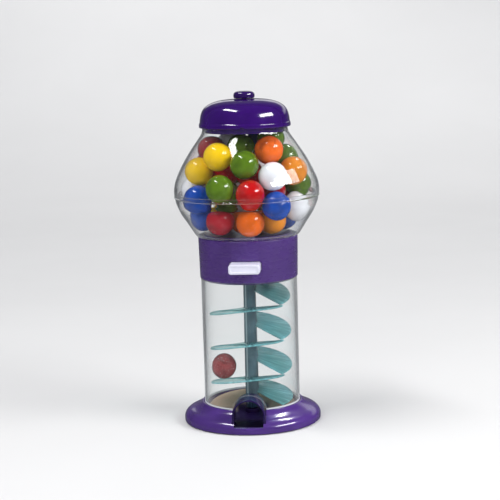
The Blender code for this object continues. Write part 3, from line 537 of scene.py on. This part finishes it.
for v in bm.verts:
    # small pick notch in the middle of the front rim
    if v.co.y < -29 and v.co.z < 215.9 and math.hypot(v.co.x, v.co.y) > 30.5:
        v.co.z += 1.25 * max(0.0, 1.0 - abs(v.co.x) / 1.9) * max(0.0, min(1.0, (215.9 - v.co.z) / 1.2))
piece("lid_cap_fine", bm, M_LID, "lid", ["lid_cap"])

piece("lid_knob_fine", turned(rounded(
    flow([(0, 240.0), (2.6, 239.98), (4.6, 239.85), (6.2, 239.4), (7.2, 238.5), (7.6, 237.0), (7.5, 235.6)], 5)
    + [(7.1, 234.9, 0.35), (1.7, 234.9), (1.7, 237.9), (0, 237.9)], False), 128, False),
    M_KNOB, "lid", ["lid_knob"])


def screw_shape(r_head, h_head, r_shank, z_head, z_tip, centre, up=True):
    """Pan head with a cross recess and a threaded shank."""
    s = 1.0 if up else -1.0
    zb = z_head - s * h_head
    length = abs(z_tip - z_head)
    turns = max(4, int(length / 1.1))
    prof = [(0, zb), (r_head * 0.55, zb), (r_head * 0.86, zb + s * 0.16 * h_head),
            (r_head, zb + s * 0.55 * h_head), (r_head, z_head), (r_shank, z_head)]
    pitch = (length - 1.6) / turns
    for i in range(turns):
        z = z_head + s * (0.4 + pitch * i)
        prof += [(r_shank, z + s * 0.2 * pitch), (r_shank * 0.82, z + s * 0.6 * pitch),
                 (r_shank, z + s * 0.98 * pitch)]
    prof += [(r_shank * 0.35, z_tip), (0, z_tip)]
    bm = turned(prof, 40, False, centre)
    depth = 0.62 * h_head
    w, l = r_head * 0.2, r_head * 0.62
    z0, z1 = sorted((zb - s * 0.5, zb + s * depth))
    cx, cy = centre
    return carve(bm,
                 ("DIFFERENCE", block((cx - l, cy - w / 2, z0), (cx + l, cy + w / 2, z1))),
                 ("DIFFERENCE", block((cx - w / 2, cy - l, z0), (cx + w / 2, cy + l, z1))))


piece("lid_knob_screw_fine", screw_shape(3.3, 2.2, 1.35, 232.5, 237.5, (0, 0)), M_STEEL, "lid",
      ["lid_knob_screw"])

# ---------------------------------------------------------------- globe
upper_outer = flow([(52.2, 165.6), (52.35, 168.4), (52.2, 171.6), (51.1, 176.7), (48.3, 183.4), (45.1, 189.5),
                    (41.4, 195.6), (37.5, 201.4), (33.9, 206.4), (31.6, 210.0), (30.7, 213.0),
                    (NECK_R, 216.0), (NECK_R, 219.4)], 5)
upper_inner = flow([(NECK_R - 1.3, 219.6), (NECK_R - 1.3, 213.4), (30.3, 209.3), (36.2, 200.8), (43.7, 188.9),
                    (46.9, 182.8), (49.6, 176.3), (50.6, 171.4), (50.6, 166.0)], 5)
upper = [(52.45, SEAM_Z, 0.35), (52.45, 165.3, 0.3)] + upper_outer + [
    (NECK_R, 220.6, 0.5), (NECK_R - 1.3, 220.6, 0.5)] + upper_inner + [(50.5, SEAM_Z, 0.35)]
piece("globe_upper_fine", turned(rounded(upper)), M_GLOBE, "machine", ["globe_upper"])

lower = [(33.4, 133.9, 0.3), (33.4, 136.5, 0.2), (36.4, 136.6, 0.5)] + flow(
    [(37.4, 137.3), (38.6, 138.9), (43.2, 146.2), (47.6, 152.9), (50.2, 158.6), (51.3, 161.6), (51.6, 163.4)], 5) + [
    (51.7, 164.4, 0.3), (50.1, 164.4, 0.2), (50.1, 167.4, 0.4), (48.9, 167.4, 0.4)] + flow(
    [(48.9, 160.6), (48.4, 158.2), (46.3, 153.7), (41.9, 147.0), (37.4, 139.6)], 5) + [
    (36.3, 138.0, 0.5), (32.2, 138.0, 0.3), (32.2, 133.9, 0.3)]
piece("globe_lower_fine", turned(rounded(lower)), M_GLOBE, "machine", ["globe_lower"])

# ---------------------------------------------------------------- funnel
bm = bmesh.new()
pocket = (POCKET_X, POCKET_Y)
drop = (POCKET_X, POCKET_Y + TRAVEL)


def between(bm, r0, z0, c0, r1, z1, c1, t):
    return ring(bm, r0 + (r1 - r0) * t, z0 + (z1 - z0) * t,
                (c0[0] + (c1[0] - c0[0]) * t, c0[1] + (c1[1] - c0[1]) * t))


o = (0, 0)
loops = [ring(bm, 31.6, 138.5), ring(bm, 31.1, 138.5), ring(bm, 30.8, 138.3)]
loops += [between(bm, 30.8, 138.3, o, POCKET_R + 0.6, 136.55, pocket, t) for t in (0.25, 0.5, 0.75, 1.0)]
loops += [ring(bm, POCKET_R + 0.15, 136.3, pocket), ring(bm, POCKET_R, 136.0, pocket),
          ring(bm, POCKET_R, 134.8, pocket), ring(bm, 30.9, 134.8), ring(bm, 30.9, 131.8),
          ring(bm, 33.4, 131.8), ring(bm, 33.4, 133.4), ring(bm, 31.9, 133.4), ring(bm, 31.9, 138.2)]
for a, b in zip(loops, loops[1:] + loops[:1]):
    bridge(bm, a, b)
piece("hopper_funnel_fine", bm, M_INNER, "machine", ["hopper_funnel"])

# ---------------------------------------------------------------- dispenser band
tools = []
for deg in FLOOR_SCREWS:
    x, y = polar(FLOOR_SCREW_R, deg)
    tools.append(("UNION", turned([(1.5, 113.9), (2.7, 113.9), (2.7, 124.5), (1.5, 124.5)], 40, True, (x, y))))
    web = block((2.1, -0.9, 114.2), (BAND_RI - FLOOR_SCREW_R + 0.6, 0.9, 124.2))
    bmesh.ops.rotate(web, verts=web.verts, cent=(0, 0, 0), matrix=Matrix.Rotation(math.radians(deg), 3, "Z"))
    bmesh.ops.translate(web, verts=web.verts, vec=(x, y, 0))
    tools.append(("UNION", web))


def octagon(w, z0, z1, c):
    """Oblong outline with its corners cut off at 45 degrees."""
    return [(w - c, z0), (w, z0 + c), (w, z1 - c), (w - c, z1), (-w + c, z1), (-w, z1 - c), (-w, z0 + c), (-w + c, z0)]


tools.append(("DIFFERENCE", outline_along_y(
    octagon(BUTTON_W / 2 + 0.4, BUTTON_Z0 - 0.4, BUTTON_Z1 + 0.4, 1.5), -40, -30)))
band = carve(turned(rounded([
    (BAND_R0, BAND_Z0, 0.4), (BAND_R1, BAND_Z1 - 1.5), (BAND_R1 + 0.02, BAND_Z1 - 0.5, 0.3), (BAND_R1 - 0.5, BAND_Z1, 0.25),
    (BAND_RI, BAND_Z1, 0.3), (BAND_RI, 131.5), (32.4, 131.5), (32.4, 130.3), (BAND_RI, 128.9),
    (BAND_RI, BAND_Z0, 0.3)])), *tools)
piece("dispenser_housing_fine", band, M_BAND, "machine", ["dispenser_housing"])

tools = [("DIFFERENCE", rod(POCKET_R, 100, 120, drop, 96))]
for x in (-14.0, 15.5):
    tools.append(("UNION", block((x - 3.2, 25.8, PLATE_Z1 - 0.5), (x + 3.2, 27.3, 127.0))))
for deg in FLOOR_SCREWS:
    tools.append(("DIFFERENCE", rod(1.5, 108, 116, polar(FLOOR_SCREW_R, deg), 32)))
plate = carve(turned(rounded([
    (1.6, PLATE_Z0), (31.9, PLATE_Z0, 0.4), (31.9, 104.9, 0.35), (33.1, 104.9, 0.35), (33.1, 106.6), (33.4, 107.0),
    (33.4, PLATE_Z1, 0.3), (1.6, PLATE_Z1)])), *tools)
piece("dispenser_floor_fine", plate, M_INNER, "machine", ["dispenser_floor"])
for i, deg in enumerate(FLOOR_SCREWS, 1):
    piece(f"floor_screw_{i}_fine", screw_shape(2.4, 1.8, 1.2, PLATE_Z0 - 0.3, 122.5, polar(FLOOR_SCREW_R, deg)),
          M_STEEL, "machine", [f"floor_screw_{i}"])

# ---------------------------------------------------------------- push button
zc = (BUTTON_Z0 + BUTTON_Z1) / 2
bm = outline_along_y(octagon(BUTTON_W / 2, BUTTON_Z0, BUTTON_Z1, 1.25), BUTTON_FRONT, -31.0)
front = [f for f in bm.faces if f.calc_center_median().y < BUTTON_FRONT + 0.01]
soften(bm, 0.5, 4, 60, lambda e: all(v.co.y < BUTTON_FRONT + 0.01 for v in e.verts))
bm.faces.ensure_lookup_table()
front = min(bm.faces, key=lambda f: (round(f.calc_center_median().y, 3), -f.calc_area()))
# shallow dished panel inside a raised border
for thick, depth in ((0.95, 0.0), (0.35, -0.32), (0.25, -0.04)):
    bmesh.ops.inset_individual(bm, faces=[front], thickness=thick, depth=depth, use_even_offset=True)
button = carve(bm,
               ("UNION", block((-13.2, -30.6, BUTTON_Z0 - 0.9), (13.2, -28.8, BUTTON_Z1 + 2.0), 0.3)),
               ("UNION", block((-9.0, -32.0, BUTTON_Z0 + 1.2), (9.0, -30.0, BUTTON_Z1 - 1.2))),
               ("UNION", block((-5.0, -29.2, 116.6), (5.0, -25.6, 120.0))))
piece("press_button_fine", button, M_WHITE, "button", ["press_button"], angle=25)
shuttle = frame["nodes"]["gumball_shuttle"]
shuttle.data.materials.clear()
shuttle.data.materials.append(M_SHUTTLE)


def helix_spring(name, x, z, y0, y1, coil_r, wire_r, turns, sides=12, per_turn=40):
    bm = bmesh.new()
    n = int(turns * per_turn)
    rings = []
    lo, hi = y0 + wire_r, y1 - wire_r
    e = 0.8 / turns
    for i in range(n + 1):
        t = i / n
        if t < e:
            s = 0.05 * t / e
        elif t > 1 - e:
            s = 1 - 0.05 * (1 - t) / e
        else:
            s = 0.05 + 0.90 * (t - e) / (1 - 2 * e)
        a = 2 * PI * turns * t
        c = Vector((x + coil_r * math.cos(a), lo + (hi - lo) * s, z + coil_r * math.sin(a)))
        radial = Vector((math.cos(a), 0, math.sin(a)))
        rings.append([bm.verts.new(c + wire_r * (math.cos(b) * radial + math.sin(b) * Vector((0, 1, 0))))
                      for b in (2 * PI * k / sides for k in range(sides))])
    for a, b in zip(rings[:-1], rings[1:]):
        bridge(bm, a, b)
    bm.faces.new(rings[0])
    bm.faces.new(rings[-1])
    ob = piece(name + "_fine", bm, M_STEEL, "machine", [name], angle=60)
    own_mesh(ob)


helix_spring("return_spring_left", -14.0, 123.0, -0.9, 25.5, 2.5, 0.45, 7.5)
helix_spring("return_spring_right", 15.5, 123.0, 3.4, 25.5, 2.5, 0.45, 6.5)

# ---------------------------------------------------------------- tube
steps = [7.0 + 1.5 * k for k in range(14)]
tube = carve(turned(rounded([(TUBE_RO, TUBE_Z0, 0.4)] + [(TUBE_RO, z) for z in steps]
                            + [(TUBE_RO, TUBE_Z1, 0.4), (TUBE_RI, TUBE_Z1, 0.4)]
                            + [(TUBE_RI, z) for z in steps[::-1]] + [(TUBE_RI, TUBE_Z0, 0.4)])),
             ("DIFFERENCE", outline_along_y(arch(CHUTE_R + CHUTE_WALL + 0.5, CHUTE_CZ, 0.0), -40, -20)))
piece("spiral_tube_fine", tube, M_TUBE, "machine", ["spiral_tube"])

# ---------------------------------------------------------------- post and spiral
piece("center_post_fine", turned(rounded([
    (1.4, 7.9, 0.2), (2.6, 7.9, 0.3), (2.6, 111.6, 0.3), (1.4, 111.6, 0.2), (1.4, 100.0), (0, 99.4), (0, 20.0), (1.4, 19.4)]),
    96), M_ROD, "machine", ["center_post"])


def smooth(table, phi):
    """A table of (position, value) pairs, averaged over a few degrees so that the sheet has no kinks."""
    def at(p):
        for (p0, s0), (p1, s1) in zip(table[:-1], table[1:]):
            if p <= p1:
                return s0 + (s1 - s0) * (p - p0) / (p1 - p0)
        return table[-1][1]
    return sum(at(min(366.0, max(0.0, phi + d))) * w for d, w in ((-16, 1), (-8, 2), (0, 3), (8, 2), (16, 1))) / 9.0


# fall of the sheet per mm of radius, and how far its rim stands above an even helix, by degrees from a leaf's start
RADIAL_DROP = ((0, -0.20), (55, -0.15), (100, -0.03), (140, 0.13), (190, 0.19), (240, 0.19), (300, 0.21), (366, 0.25))
RIM_SWELL = ((0, 0.0), (6, 0.0), (26, 1.3), (50, 2.2), (75, 2.1), (105, 1.0), (146, -0.6), (200, -0.7), (260, -0.2),
             (300, 0.0), (366, 0.0))


def leaf(start, end, first_phi=0.0, lift=0.0, step=2.5):
    bm = bmesh.new()
    n = round((start - end) / step)
    rows = []
    r_in = 0.5 * (SLEEVE_RI + SLEEVE_R_TOP)
    tops = [r_in + (RAMP_R - 0.35 - r_in) * k / 12 for k in range(13)]
    for i in range(n + 1):
        t = i / n
        deg = start + (end - start) * t
        phi = first_phi + (start - deg)
        sink = 0.0 if first_phi else 1.7 * max(0.0, 1.0 - phi / 150.0)
        z_rim = RAMP_Z0 + PITCH * deg / 360.0 - sink + smooth(RIM_SWELL, phi) + lift * t * t
        s = smooth(RADIAL_DROP, phi)
        # thin towards the very ends, so that the edge there is rounded over
        end_gap = min(phi - first_phi, deg - end) / step
        thin = 0.0 if end_gap > 0.5 else 0.22

        def point(r, dz):
            # shallow flow ribs that fan out from the post
            rib = 0.05 * math.sin(math.radians(deg) * 40) * min(1.0, (r - r_in) / 8.0) if abs(dz) < 0.01 else 0.0
            x, y = polar(r, deg)
            return bm.verts.new((x, y, z_rim + s * (RAMP_R - r) + dz + rib))

        row = [point(r, -thin) for r in tops]
        row += [point(RAMP_R - 0.1, -0.2 - thin * 0.5), point(RAMP_R, -RAMP_T / 2), point(RAMP_R - 0.1, -RAMP_T + 0.2 + thin * 0.5)]
        row += [point(r, -RAMP_T + thin) for r in tops[::-1]]
        rows.append(row)
    for a, b in zip(rows[:-1], rows[1:]):
        bridge(bm, a, b)
    bm.faces.new(rows[0])
    bm.faces.new(rows[-1])
    bmesh.ops.recalc_face_normals(bm, faces=bm.faces)
    return bm


spiral = carve(
    turned(rounded([(SLEEVE_RI, SLEEVE_Z0, 0.2), (SLEEVE_R_BOT, SLEEVE_Z0, 0.3), (SLEEVE_R_TOP, SLEEVE_Z1, 0.3),
                    (SLEEVE_RI, SLEEVE_Z1, 0.2)]), 96),
    ("UNION", leaf(96.0, LEAF_END, 366.0 - (96.0 - LEAF_END))),
    ("UNION", leaf(LEAF_END + 6, LEAF_END - 360)),
    ("UNION", leaf(LEAF_END - 354, LEAF_END - 720)),
    ("UNION", leaf(LEAF_END - 714, LEAF_END - 1080, 0.0, 2.4)))
piece("spiral_ramp_fine", spiral, M_TEAL, "machine", ["spiral_ramp"], angle=40)

piece("post_top_screw_fine", screw_shape(3.0, 1.8, 1.15, PLATE_Z1 + 0.3, 101.5, (0, 0), up=False), M_STEEL,
      "machine", ["post_top_screw"])
piece("post_bottom_screw_fine", screw_shape(3.0, 2.0, 1.15, 5.3, 18.5, (0, 0)), M_STEEL, "machine",
      ["post_bottom_screw"])

# ---------------------------------------------------------------- base
base_profile = rounded(
    [(49.9, 0.7, 0.3)] + flow([(50.0, 2.6), (49.95, 4.0), (49.4, 5.7), (48.1, 7.35), (45.8, 8.85), (42.4, 10.2),
                               (39.3, 11.85), (37.45, 13.5)], 5)
    + [(36.7, 14.6, 0.5), (35.2, COLLAR_Z, 0.45), (35.2, 4.7, 0.2), (33.3, 4.7, 0.2), (33.3, 3.2), (36.8, 3.2),
       (36.9, 10.6)] + flow([(39.0, 9.3), (41.6, 8.2), (45.0, 6.8), (47.2, 5.2), (48.0, 3.4)], 3) + [(48.1, 0.7, 0.3)])
tools = []
for deg in (90, 210, 330):
    x, y = polar(BASE_SCREW_R, deg)
    tools.append(("UNION", turned([(1.4, 2.4), (2.9, 2.4), (2.9, 9.4), (1.4, 9.4)], 40, True, (x, y))))
tools.append(("DIFFERENCE", block((-12.1, -46.4, -1), (12.1, -20, 20))))
tools.append(("DIFFERENCE", block((-10.6, -53, 5.2), (10.6, -44, 20))))
piece("base_shell_fine", carve(turned(base_profile, 240), *tools), M_BASE, "machine", ["base_shell"])

bm = bmesh.new()
drain = (0.0, -20.5)


def dish(t, drop_z, n=120):
    """A ring of the dished floor, t from its tilted rim (0) to the drain (1)."""
    vs = []
    e = t * t * (3 - 2 * t)
    for i in range(n):
        a = 2 * PI * i / n
        c, s = math.cos(a), math.sin(a)
        x = 32.9 * c * (1 - t) + (drain[0] + 9.0 * c) * t
        y = 32.9 * s * (1 - t) + (drain[1] + 9.0 * s) * t
        rim = 9.4 + 4.6 * s - drop_z
        low = (FLOOR_Z + 0.15) if not drop_z else 2.3
        vs.append(bm.verts.new((x, y, rim + (low - rim) * (e * 0.35 + t * 0.65))))
    return vs


loops_top = [dish(t / 8, 0.0) for t in range(9)]
loops_low = [dish(1.0, 1.5), dish(0.0, 1.5)]
for a, b in zip(loops_top[:-1], loops_top[1:]):
    bridge(bm, a, b)
bridge(bm, loops_low[0], loops_low[1])
bridge(bm, loops_low[1], loops_top[0])
bm.faces.new(loops_top[-1])
bm.faces.new(loops_low[0])
floor = carve(bm,
              ("UNION", block((-10.3, CHUTE_Y0, 2.3), (10.3, -16.0, FLOOR_Z))),
              ("UNION", turned(rounded([(0, 2.3), (5.6, 2.3), (5.6, 7.6, 0.8), (0, 7.6)], False), 72, False)),
              ("DIFFERENCE", block((-10.0, -50, FLOOR_Z), (10.0, -22.0, 12))),
              ("DIFFERENCE", rod(1.5, 1, 10, (0, 0), 32)),
              ("DIFFERENCE", rod(3.3, 1, 5.6, (0, 0), 48)))
piece("collector_floor_fine", floor, M_FLOOR, "machine", ["collector_floor"])

hood = carve(outline_along_y(arch(CHUTE_R + CHUTE_WALL, CHUTE_CZ, 2.3) + arch(CHUTE_R, CHUTE_CZ, 2.3)[::-1],
                             CHUTE_Y0, CHUTE_Y1),
             ("DIFFERENCE", block((-20, -33.6, 0), (20, -10, 6.4))))
soften(hood, 0.35, 3, 50, lambda e: all(v.co.y < CHUTE_Y0 + 0.01 for v in e.verts)
       or all(v.co.y > CHUTE_Y1 - 0.01 for v in e.verts))
piece("chute_hood_fine", hood, M_HOOD, "machine", ["chute_hood"])

tools = [("DIFFERENCE", rod(1.4, 0, 3, polar(BASE_SCREW_R, deg), 32)) for deg in (90, 210, 330)]
tools += [("DIFFERENCE", rod(1.7, 0, 3, polar(FOOT_R, deg), 32)) for deg in (45, 135, 225, 315)]
cover = carve(turned(rounded([(0, 1.0), (47.6, 1.0, 0.3), (47.6, 2.0, 0.3), (0, 2.0)], False), 200, False), *tools)
piece("base_cover_fine", cover, M_INNER, "machine", ["base_cover"])
for i, deg in enumerate((90, 210, 330), 1):
    piece(f"base_screw_{i}_fine", screw_shape(2.4, 0.55, 1.1, 0.7, 8.0, polar(BASE_SCREW_R, deg)), M_STEEL,
          "machine", [f"base_screw_{i}"])
for i, deg in enumerate((45, 135, 225, 315), 1):
    piece(f"rubber_foot_{i}_fine",
          turned(rounded([(0, 0), (3.6, 0, 0.2), (4.0, 0.1, 0.2), (4.3, 0.4, 0.2), (4.1, 0.7, 0.15), (1.4, 0.7),
                          (1.4, 2.2), (1.1, 2.8, 0.3), (0, 2.8)], False), 64, False, polar(FOOT_R, deg)),
          M_RUBBER, "machine", [f"rubber_foot_{i}"])


# ---------------------------------------------------------------- gumballs
def gumball(name, centre, d, mat, body, nodes=(), detail=5, wobble=1.0):
    """A pan-coated ball: nearly round, slightly flattened, with soft lumps."""
    bm = bmesh.new()
    bmesh.ops.create_icosphere(bm, subdivisions=detail, radius=1.0)
    seed = Vector((centre[0] * 0.37, centre[1] * 0.41, centre[2] * 0.29))
    flat = Vector((math.sin(seed.x * 3.1), math.cos(seed.y * 2.7), math.sin(seed.z * 1.9 + 1))).normalized()
    for v in bm.verts:
        u = v.co.normalized()
        k = 1.0 - wobble * (0.010 * abs(u.dot(flat)) ** 3 + 0.006
                            - 0.006 * noise.noise(u * 1.6 + seed) - 0.0016 * noise.noise(u * 5.5 + seed))
        v.co = Vector(centre) + u * (d / 2 * k)
    return piece(name, bm, mat, body, nodes, angle=80)


def centre_of(node):
    lo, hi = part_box(node)
    return (lo + hi) / 2 / MM


placed = []
for node in sorted(frame["nodes"]):
    parts = node.split("_")
    if node.startswith("gumball_") and parts[1].isdigit():
        tint = "_".join(parts[2:])
        c = centre_of(node)
        placed.append(c)
        # the two lighter oranges on the right
        shell = CANDY_MAT["amber" if node in ("gumball_08_orange", "gumball_18_orange") else tint]
        gumball(node + "_fine", c, GUMBALL_D, shell, "machine", [node])
gumball("gumball_in_shuttle_fine", centre_of("gumball_in_shuttle"), GUMBALL_D, CANDY_MAT["yellow"], "button",
        ["gumball_in_shuttle"])
gumball("gumball_on_ramp_fine", centre_of("gumball_on_ramp"), 18.4, CANDY_MAT["maroon"], "rolling_gumball",
        ["gumball_on_ramp"])

# the rest of the heap, packed between the ones against the wall
WALL = ((138.0, 36.3), (147.0, 41.9), (153.7, 46.3), (159.4, 48.9), (164.5, 48.9), (176.3, 48.9),
        (182.8, 46.9), (188.9, 43.7), (200.8, 36.2), (209.3, 30.3))
wall_z = np.array([w[0] for w in WALL])
wall_r = np.array([w[1] for w in WALL])


def pack_heap(fixed, spare, rounds=500):
    rng = np.random.default_rng(7)
    r = GUMBALL_D / 2
    f = np.array([list(p) for p in fixed])
    free = np.column_stack([rng.uniform(-34, 34, spare), rng.uniform(-30, 36, spare), rng.uniform(148, 206, spare)])
    for step in range(rounds):
        pull = 0.02 * max(0.0, 1 - step / rounds / 0.4)
        free[:, 2] -= pull
        for _ in range(2):
            every = np.vstack([f, free])
            delta = every[None, :, :] - free[:, None, :]
            dist = np.linalg.norm(delta, axis=2)
            dist[np.arange(spare), np.arange(spare) + len(f)] = 1e9
            short = np.clip(GUMBALL_D + 0.1 - dist, 0, None)
            share = np.where(np.arange(len(every)) < len(f), 0.9, 0.5)[None, :]
            free -= (delta / dist[:, :, None] * (short * share)[:, :, None]).sum(1) * (1.0 if step * 2 < rounds else 0.7)
            for k in range(-4, 5):
                h = free[:, 2] + r * k / 4 * 0.98
                reach = np.sqrt(np.clip(r * r - (h - free[:, 2]) ** 2, 0, None))
                away = np.hypot(free[:, 0], free[:, 1])
                over = np.clip(away + reach + 0.4 - np.interp(h, wall_z, wall_r), 0, None)
                scale = np.where(away > 1e-6, 1 - over / np.maximum(away, 1e-6), 1)
                free[:, :2] *= scale[:, None]
            aside = np.clip(27.6 - np.hypot(free[:, 0], free[:, 1]), 0, r)
            free[:, 2] = np.clip(free[:, 2], 138.9 + r, 210.4 - np.sqrt(r * r - aside * aside))
    keep = list(range(spare))
    while True:
        # drop the most crowded ball until none is pressed into another
        every = np.vstack([f, free[keep]])
        dist = np.linalg.norm(every[None] - every[:, None], axis=2) + np.eye(len(every)) * 1e9
        depth = np.clip(GUMBALL_D - dist, 0, None)[len(f):]
        worst = depth.max(1)
        if not len(keep) or worst.max() < 0.35:
            break
        keep.pop(int((depth.sum(1) * (worst > 0.35)).argmax()))
    return [tuple(p) for p in free[keep]]


heap = pack_heap(placed, 29)
mix = ("green", "white", "red", "yellow", "orange", "blue", "green", "red", "yellow", "crimson", "white", "orange", "dark_red")
for i, c in enumerate(heap, 1):
    tint = mix[(i * 5) % len(mix)]
    gumball(f"gumball_heap_{i:02d}", c, GUMBALL_D, CANDY_MAT[tint], "machine",
            ["gumball_fill"] if i == 1 else (), detail=4)

# ---------------------------------------------------------------- studio
bm = bmesh.new()
rows = []
sweep = [(-3.0, 0.0), (1.2, 0.0)] + [(1.2 + 1.4 * math.sin(PI / 2 * k / 12), 1.4 - 1.4 * math.cos(PI / 2 * k / 12))
                                     for k in range(1, 13)] + [(2.6, 5.0)]
for y, z in sweep:
    rows.append([bm.verts.new((x, y, z)) for x in (-5, 5)])
for a, b in zip(rows[:-1], rows[1:]):
    bm.faces.new((a[0], a[1], b[1], b[0]))
me = bpy.data.meshes.new("studio_floor")
bm.to_mesh(me)
bm.free()
me.shade_smooth()
studio = bpy.data.objects.new("studio_floor", me)
bpy.context.scene.collection.objects.link(studio)
m = Mat("studio_paper")
paper = m.ramp(m.grain(3.0, 3.0), [(0.3, (0.70, 0.695, 0.69)), (0.7, (0.73, 0.725, 0.72))])
path = m.node("LightPath")
mirrored = m.math("MULTIPLY", path.outputs["Is Glossy Ray"], m.math("SUBTRACT", 1.0, path.outputs["Is Transmission Ray"]))
# a flagged studio: what shows in the gloss of the plastic is dimmer than the paper itself
paper = m.mix(mirrored, paper, (0.10, 0.10, 0.105))
me.materials.append(m.surface(m.principled(Base_Color=paper, Roughness=0.75, Normal=m.bump(m.grain(400.0), 0.0002, 0.2))))


def softbox(name, at, target, size, power, colour=(1, 1, 1), shape="RECTANGLE"):
    light = bpy.data.lights.new(name, "AREA")
    light.shape = shape
    light.size, light.size_y = size
    light.energy = power
    light.color = colour
    ob = bpy.data.objects.new(name, light)
    bpy.context.scene.collection.objects.link(ob)
    ob.location = at
    ob.rotation_mode = "QUATERNION"
    ob.rotation_quaternion = (Vector(target) - Vector(at)).to_track_quat("-Z", "Y")
    return ob


softbox("softbox_left", (-0.47, -0.25, 1.26), (0, 0, 0.20), (0.72, 0.15), 9)
softbox("softbox_right", (1.06, -0.47, 0.79), (0, 0, 0.20), (0.86, 0.28), 15)
back = softbox("softbox_back", (0.38, 0.61, 1.09), (0, 0, 0.10), (0.22, 0.14), 5)
lit = bpy.data.collections.new("lit_from_behind")
for ob in bpy.context.scene.objects:
    if ob.name == "base_shell_fine" or ob.name.startswith("gumball_"):
        lit.objects.link(ob)
back.light_linking.receiver_collection = lit
rim = softbox("rim_behind", (0.45, 1.95, 0.80), (0, 0, 0.20), (2.7, 0.42), 2.6)
rim.visible_camera = rim.visible_transmission = False
# broad fill for the front, and a wash for the backdrop, kept out of the reflections
softbox("fill_front", (-0.55, -2.12, 0.95), (0, 0, 0.12), (1.5, 1.1), 17).visible_glossy = False
softbox("backdrop_wash", (0.0, 1.1, 1.9), (0, 2.9, 0.9), (2.0, 0.8), 22).visible_glossy = False

world = bpy.data.worlds.new("studio_world")
bpy.context.scene.world = world
world.use_nodes = True
tree = world.node_tree
sky = tree.nodes["Background"]
sky.inputs["Color"].default_value = (0.90, 0.93, 1.0, 1.0)
path = tree.nodes.new("ShaderNodeLightPath")
passed = tree.nodes.new("ShaderNodeMath")
passed.operation = "SUBTRACT"
passed.inputs[0].default_value = 1.0
tree.links.new(path.outputs["Is Transmission Ray"], passed.inputs[1])
mirrored = tree.nodes.new("ShaderNodeMath")
mirrored.operation = "MULTIPLY"
tree.links.new(path.outputs["Is Glossy Ray"], mirrored.inputs[0])
tree.links.new(passed.outputs[0], mirrored.inputs[1])
strength = tree.nodes.new("ShaderNodeMapRange")
strength.inputs["To Min"].default_value = 0.42
strength.inputs["To Max"].default_value = 0.09
tree.links.new(mirrored.outputs[0], strength.inputs["Value"])
tree.links.new(strength.outputs["Result"], sky.inputs["Strength"])

cam_data = bpy.data.cameras.new("camera")
cam_data.lens = 104.1
cam_data.sensor_width = 36.0
cam_data.clip_start, cam_data.clip_end = 0.05, 30
cam = bpy.data.objects.new("camera", cam_data)
bpy.context.scene.collection.objects.link(cam)
bearing = math.radians(4.0864)
eye = Vector((1.03849 * math.sin(bearing), -1.03849 * math.cos(bearing), 0.27872))
ahead = (Vector((0, 0, 0.12502)) - eye).normalized()
side = ahead.cross(Vector((0, 0, 1))).normalized()
up = side.cross(ahead)
yaw, roll = math.radians(0.0669), math.radians(-1.6136)
look = ahead * math.cos(yaw) + side * math.sin(yaw)
side = side * math.cos(yaw) - ahead * math.sin(yaw)
right = side * math.cos(roll) + up * math.sin(roll)
above = up * math.cos(roll) - side * math.sin(roll)
cam.matrix_world = Matrix((
    (right.x, above.x, -look.x, eye.x), (right.y, above.y, -look.y, eye.y), (right.z, above.z, -look.z, eye.z),
    (0, 0, 0, 1)))
bpy.context.scene.camera = cam
bpy.context.scene.view_settings.view_transform = "Standard"
bpy.context.scene.view_settings.look = "None"
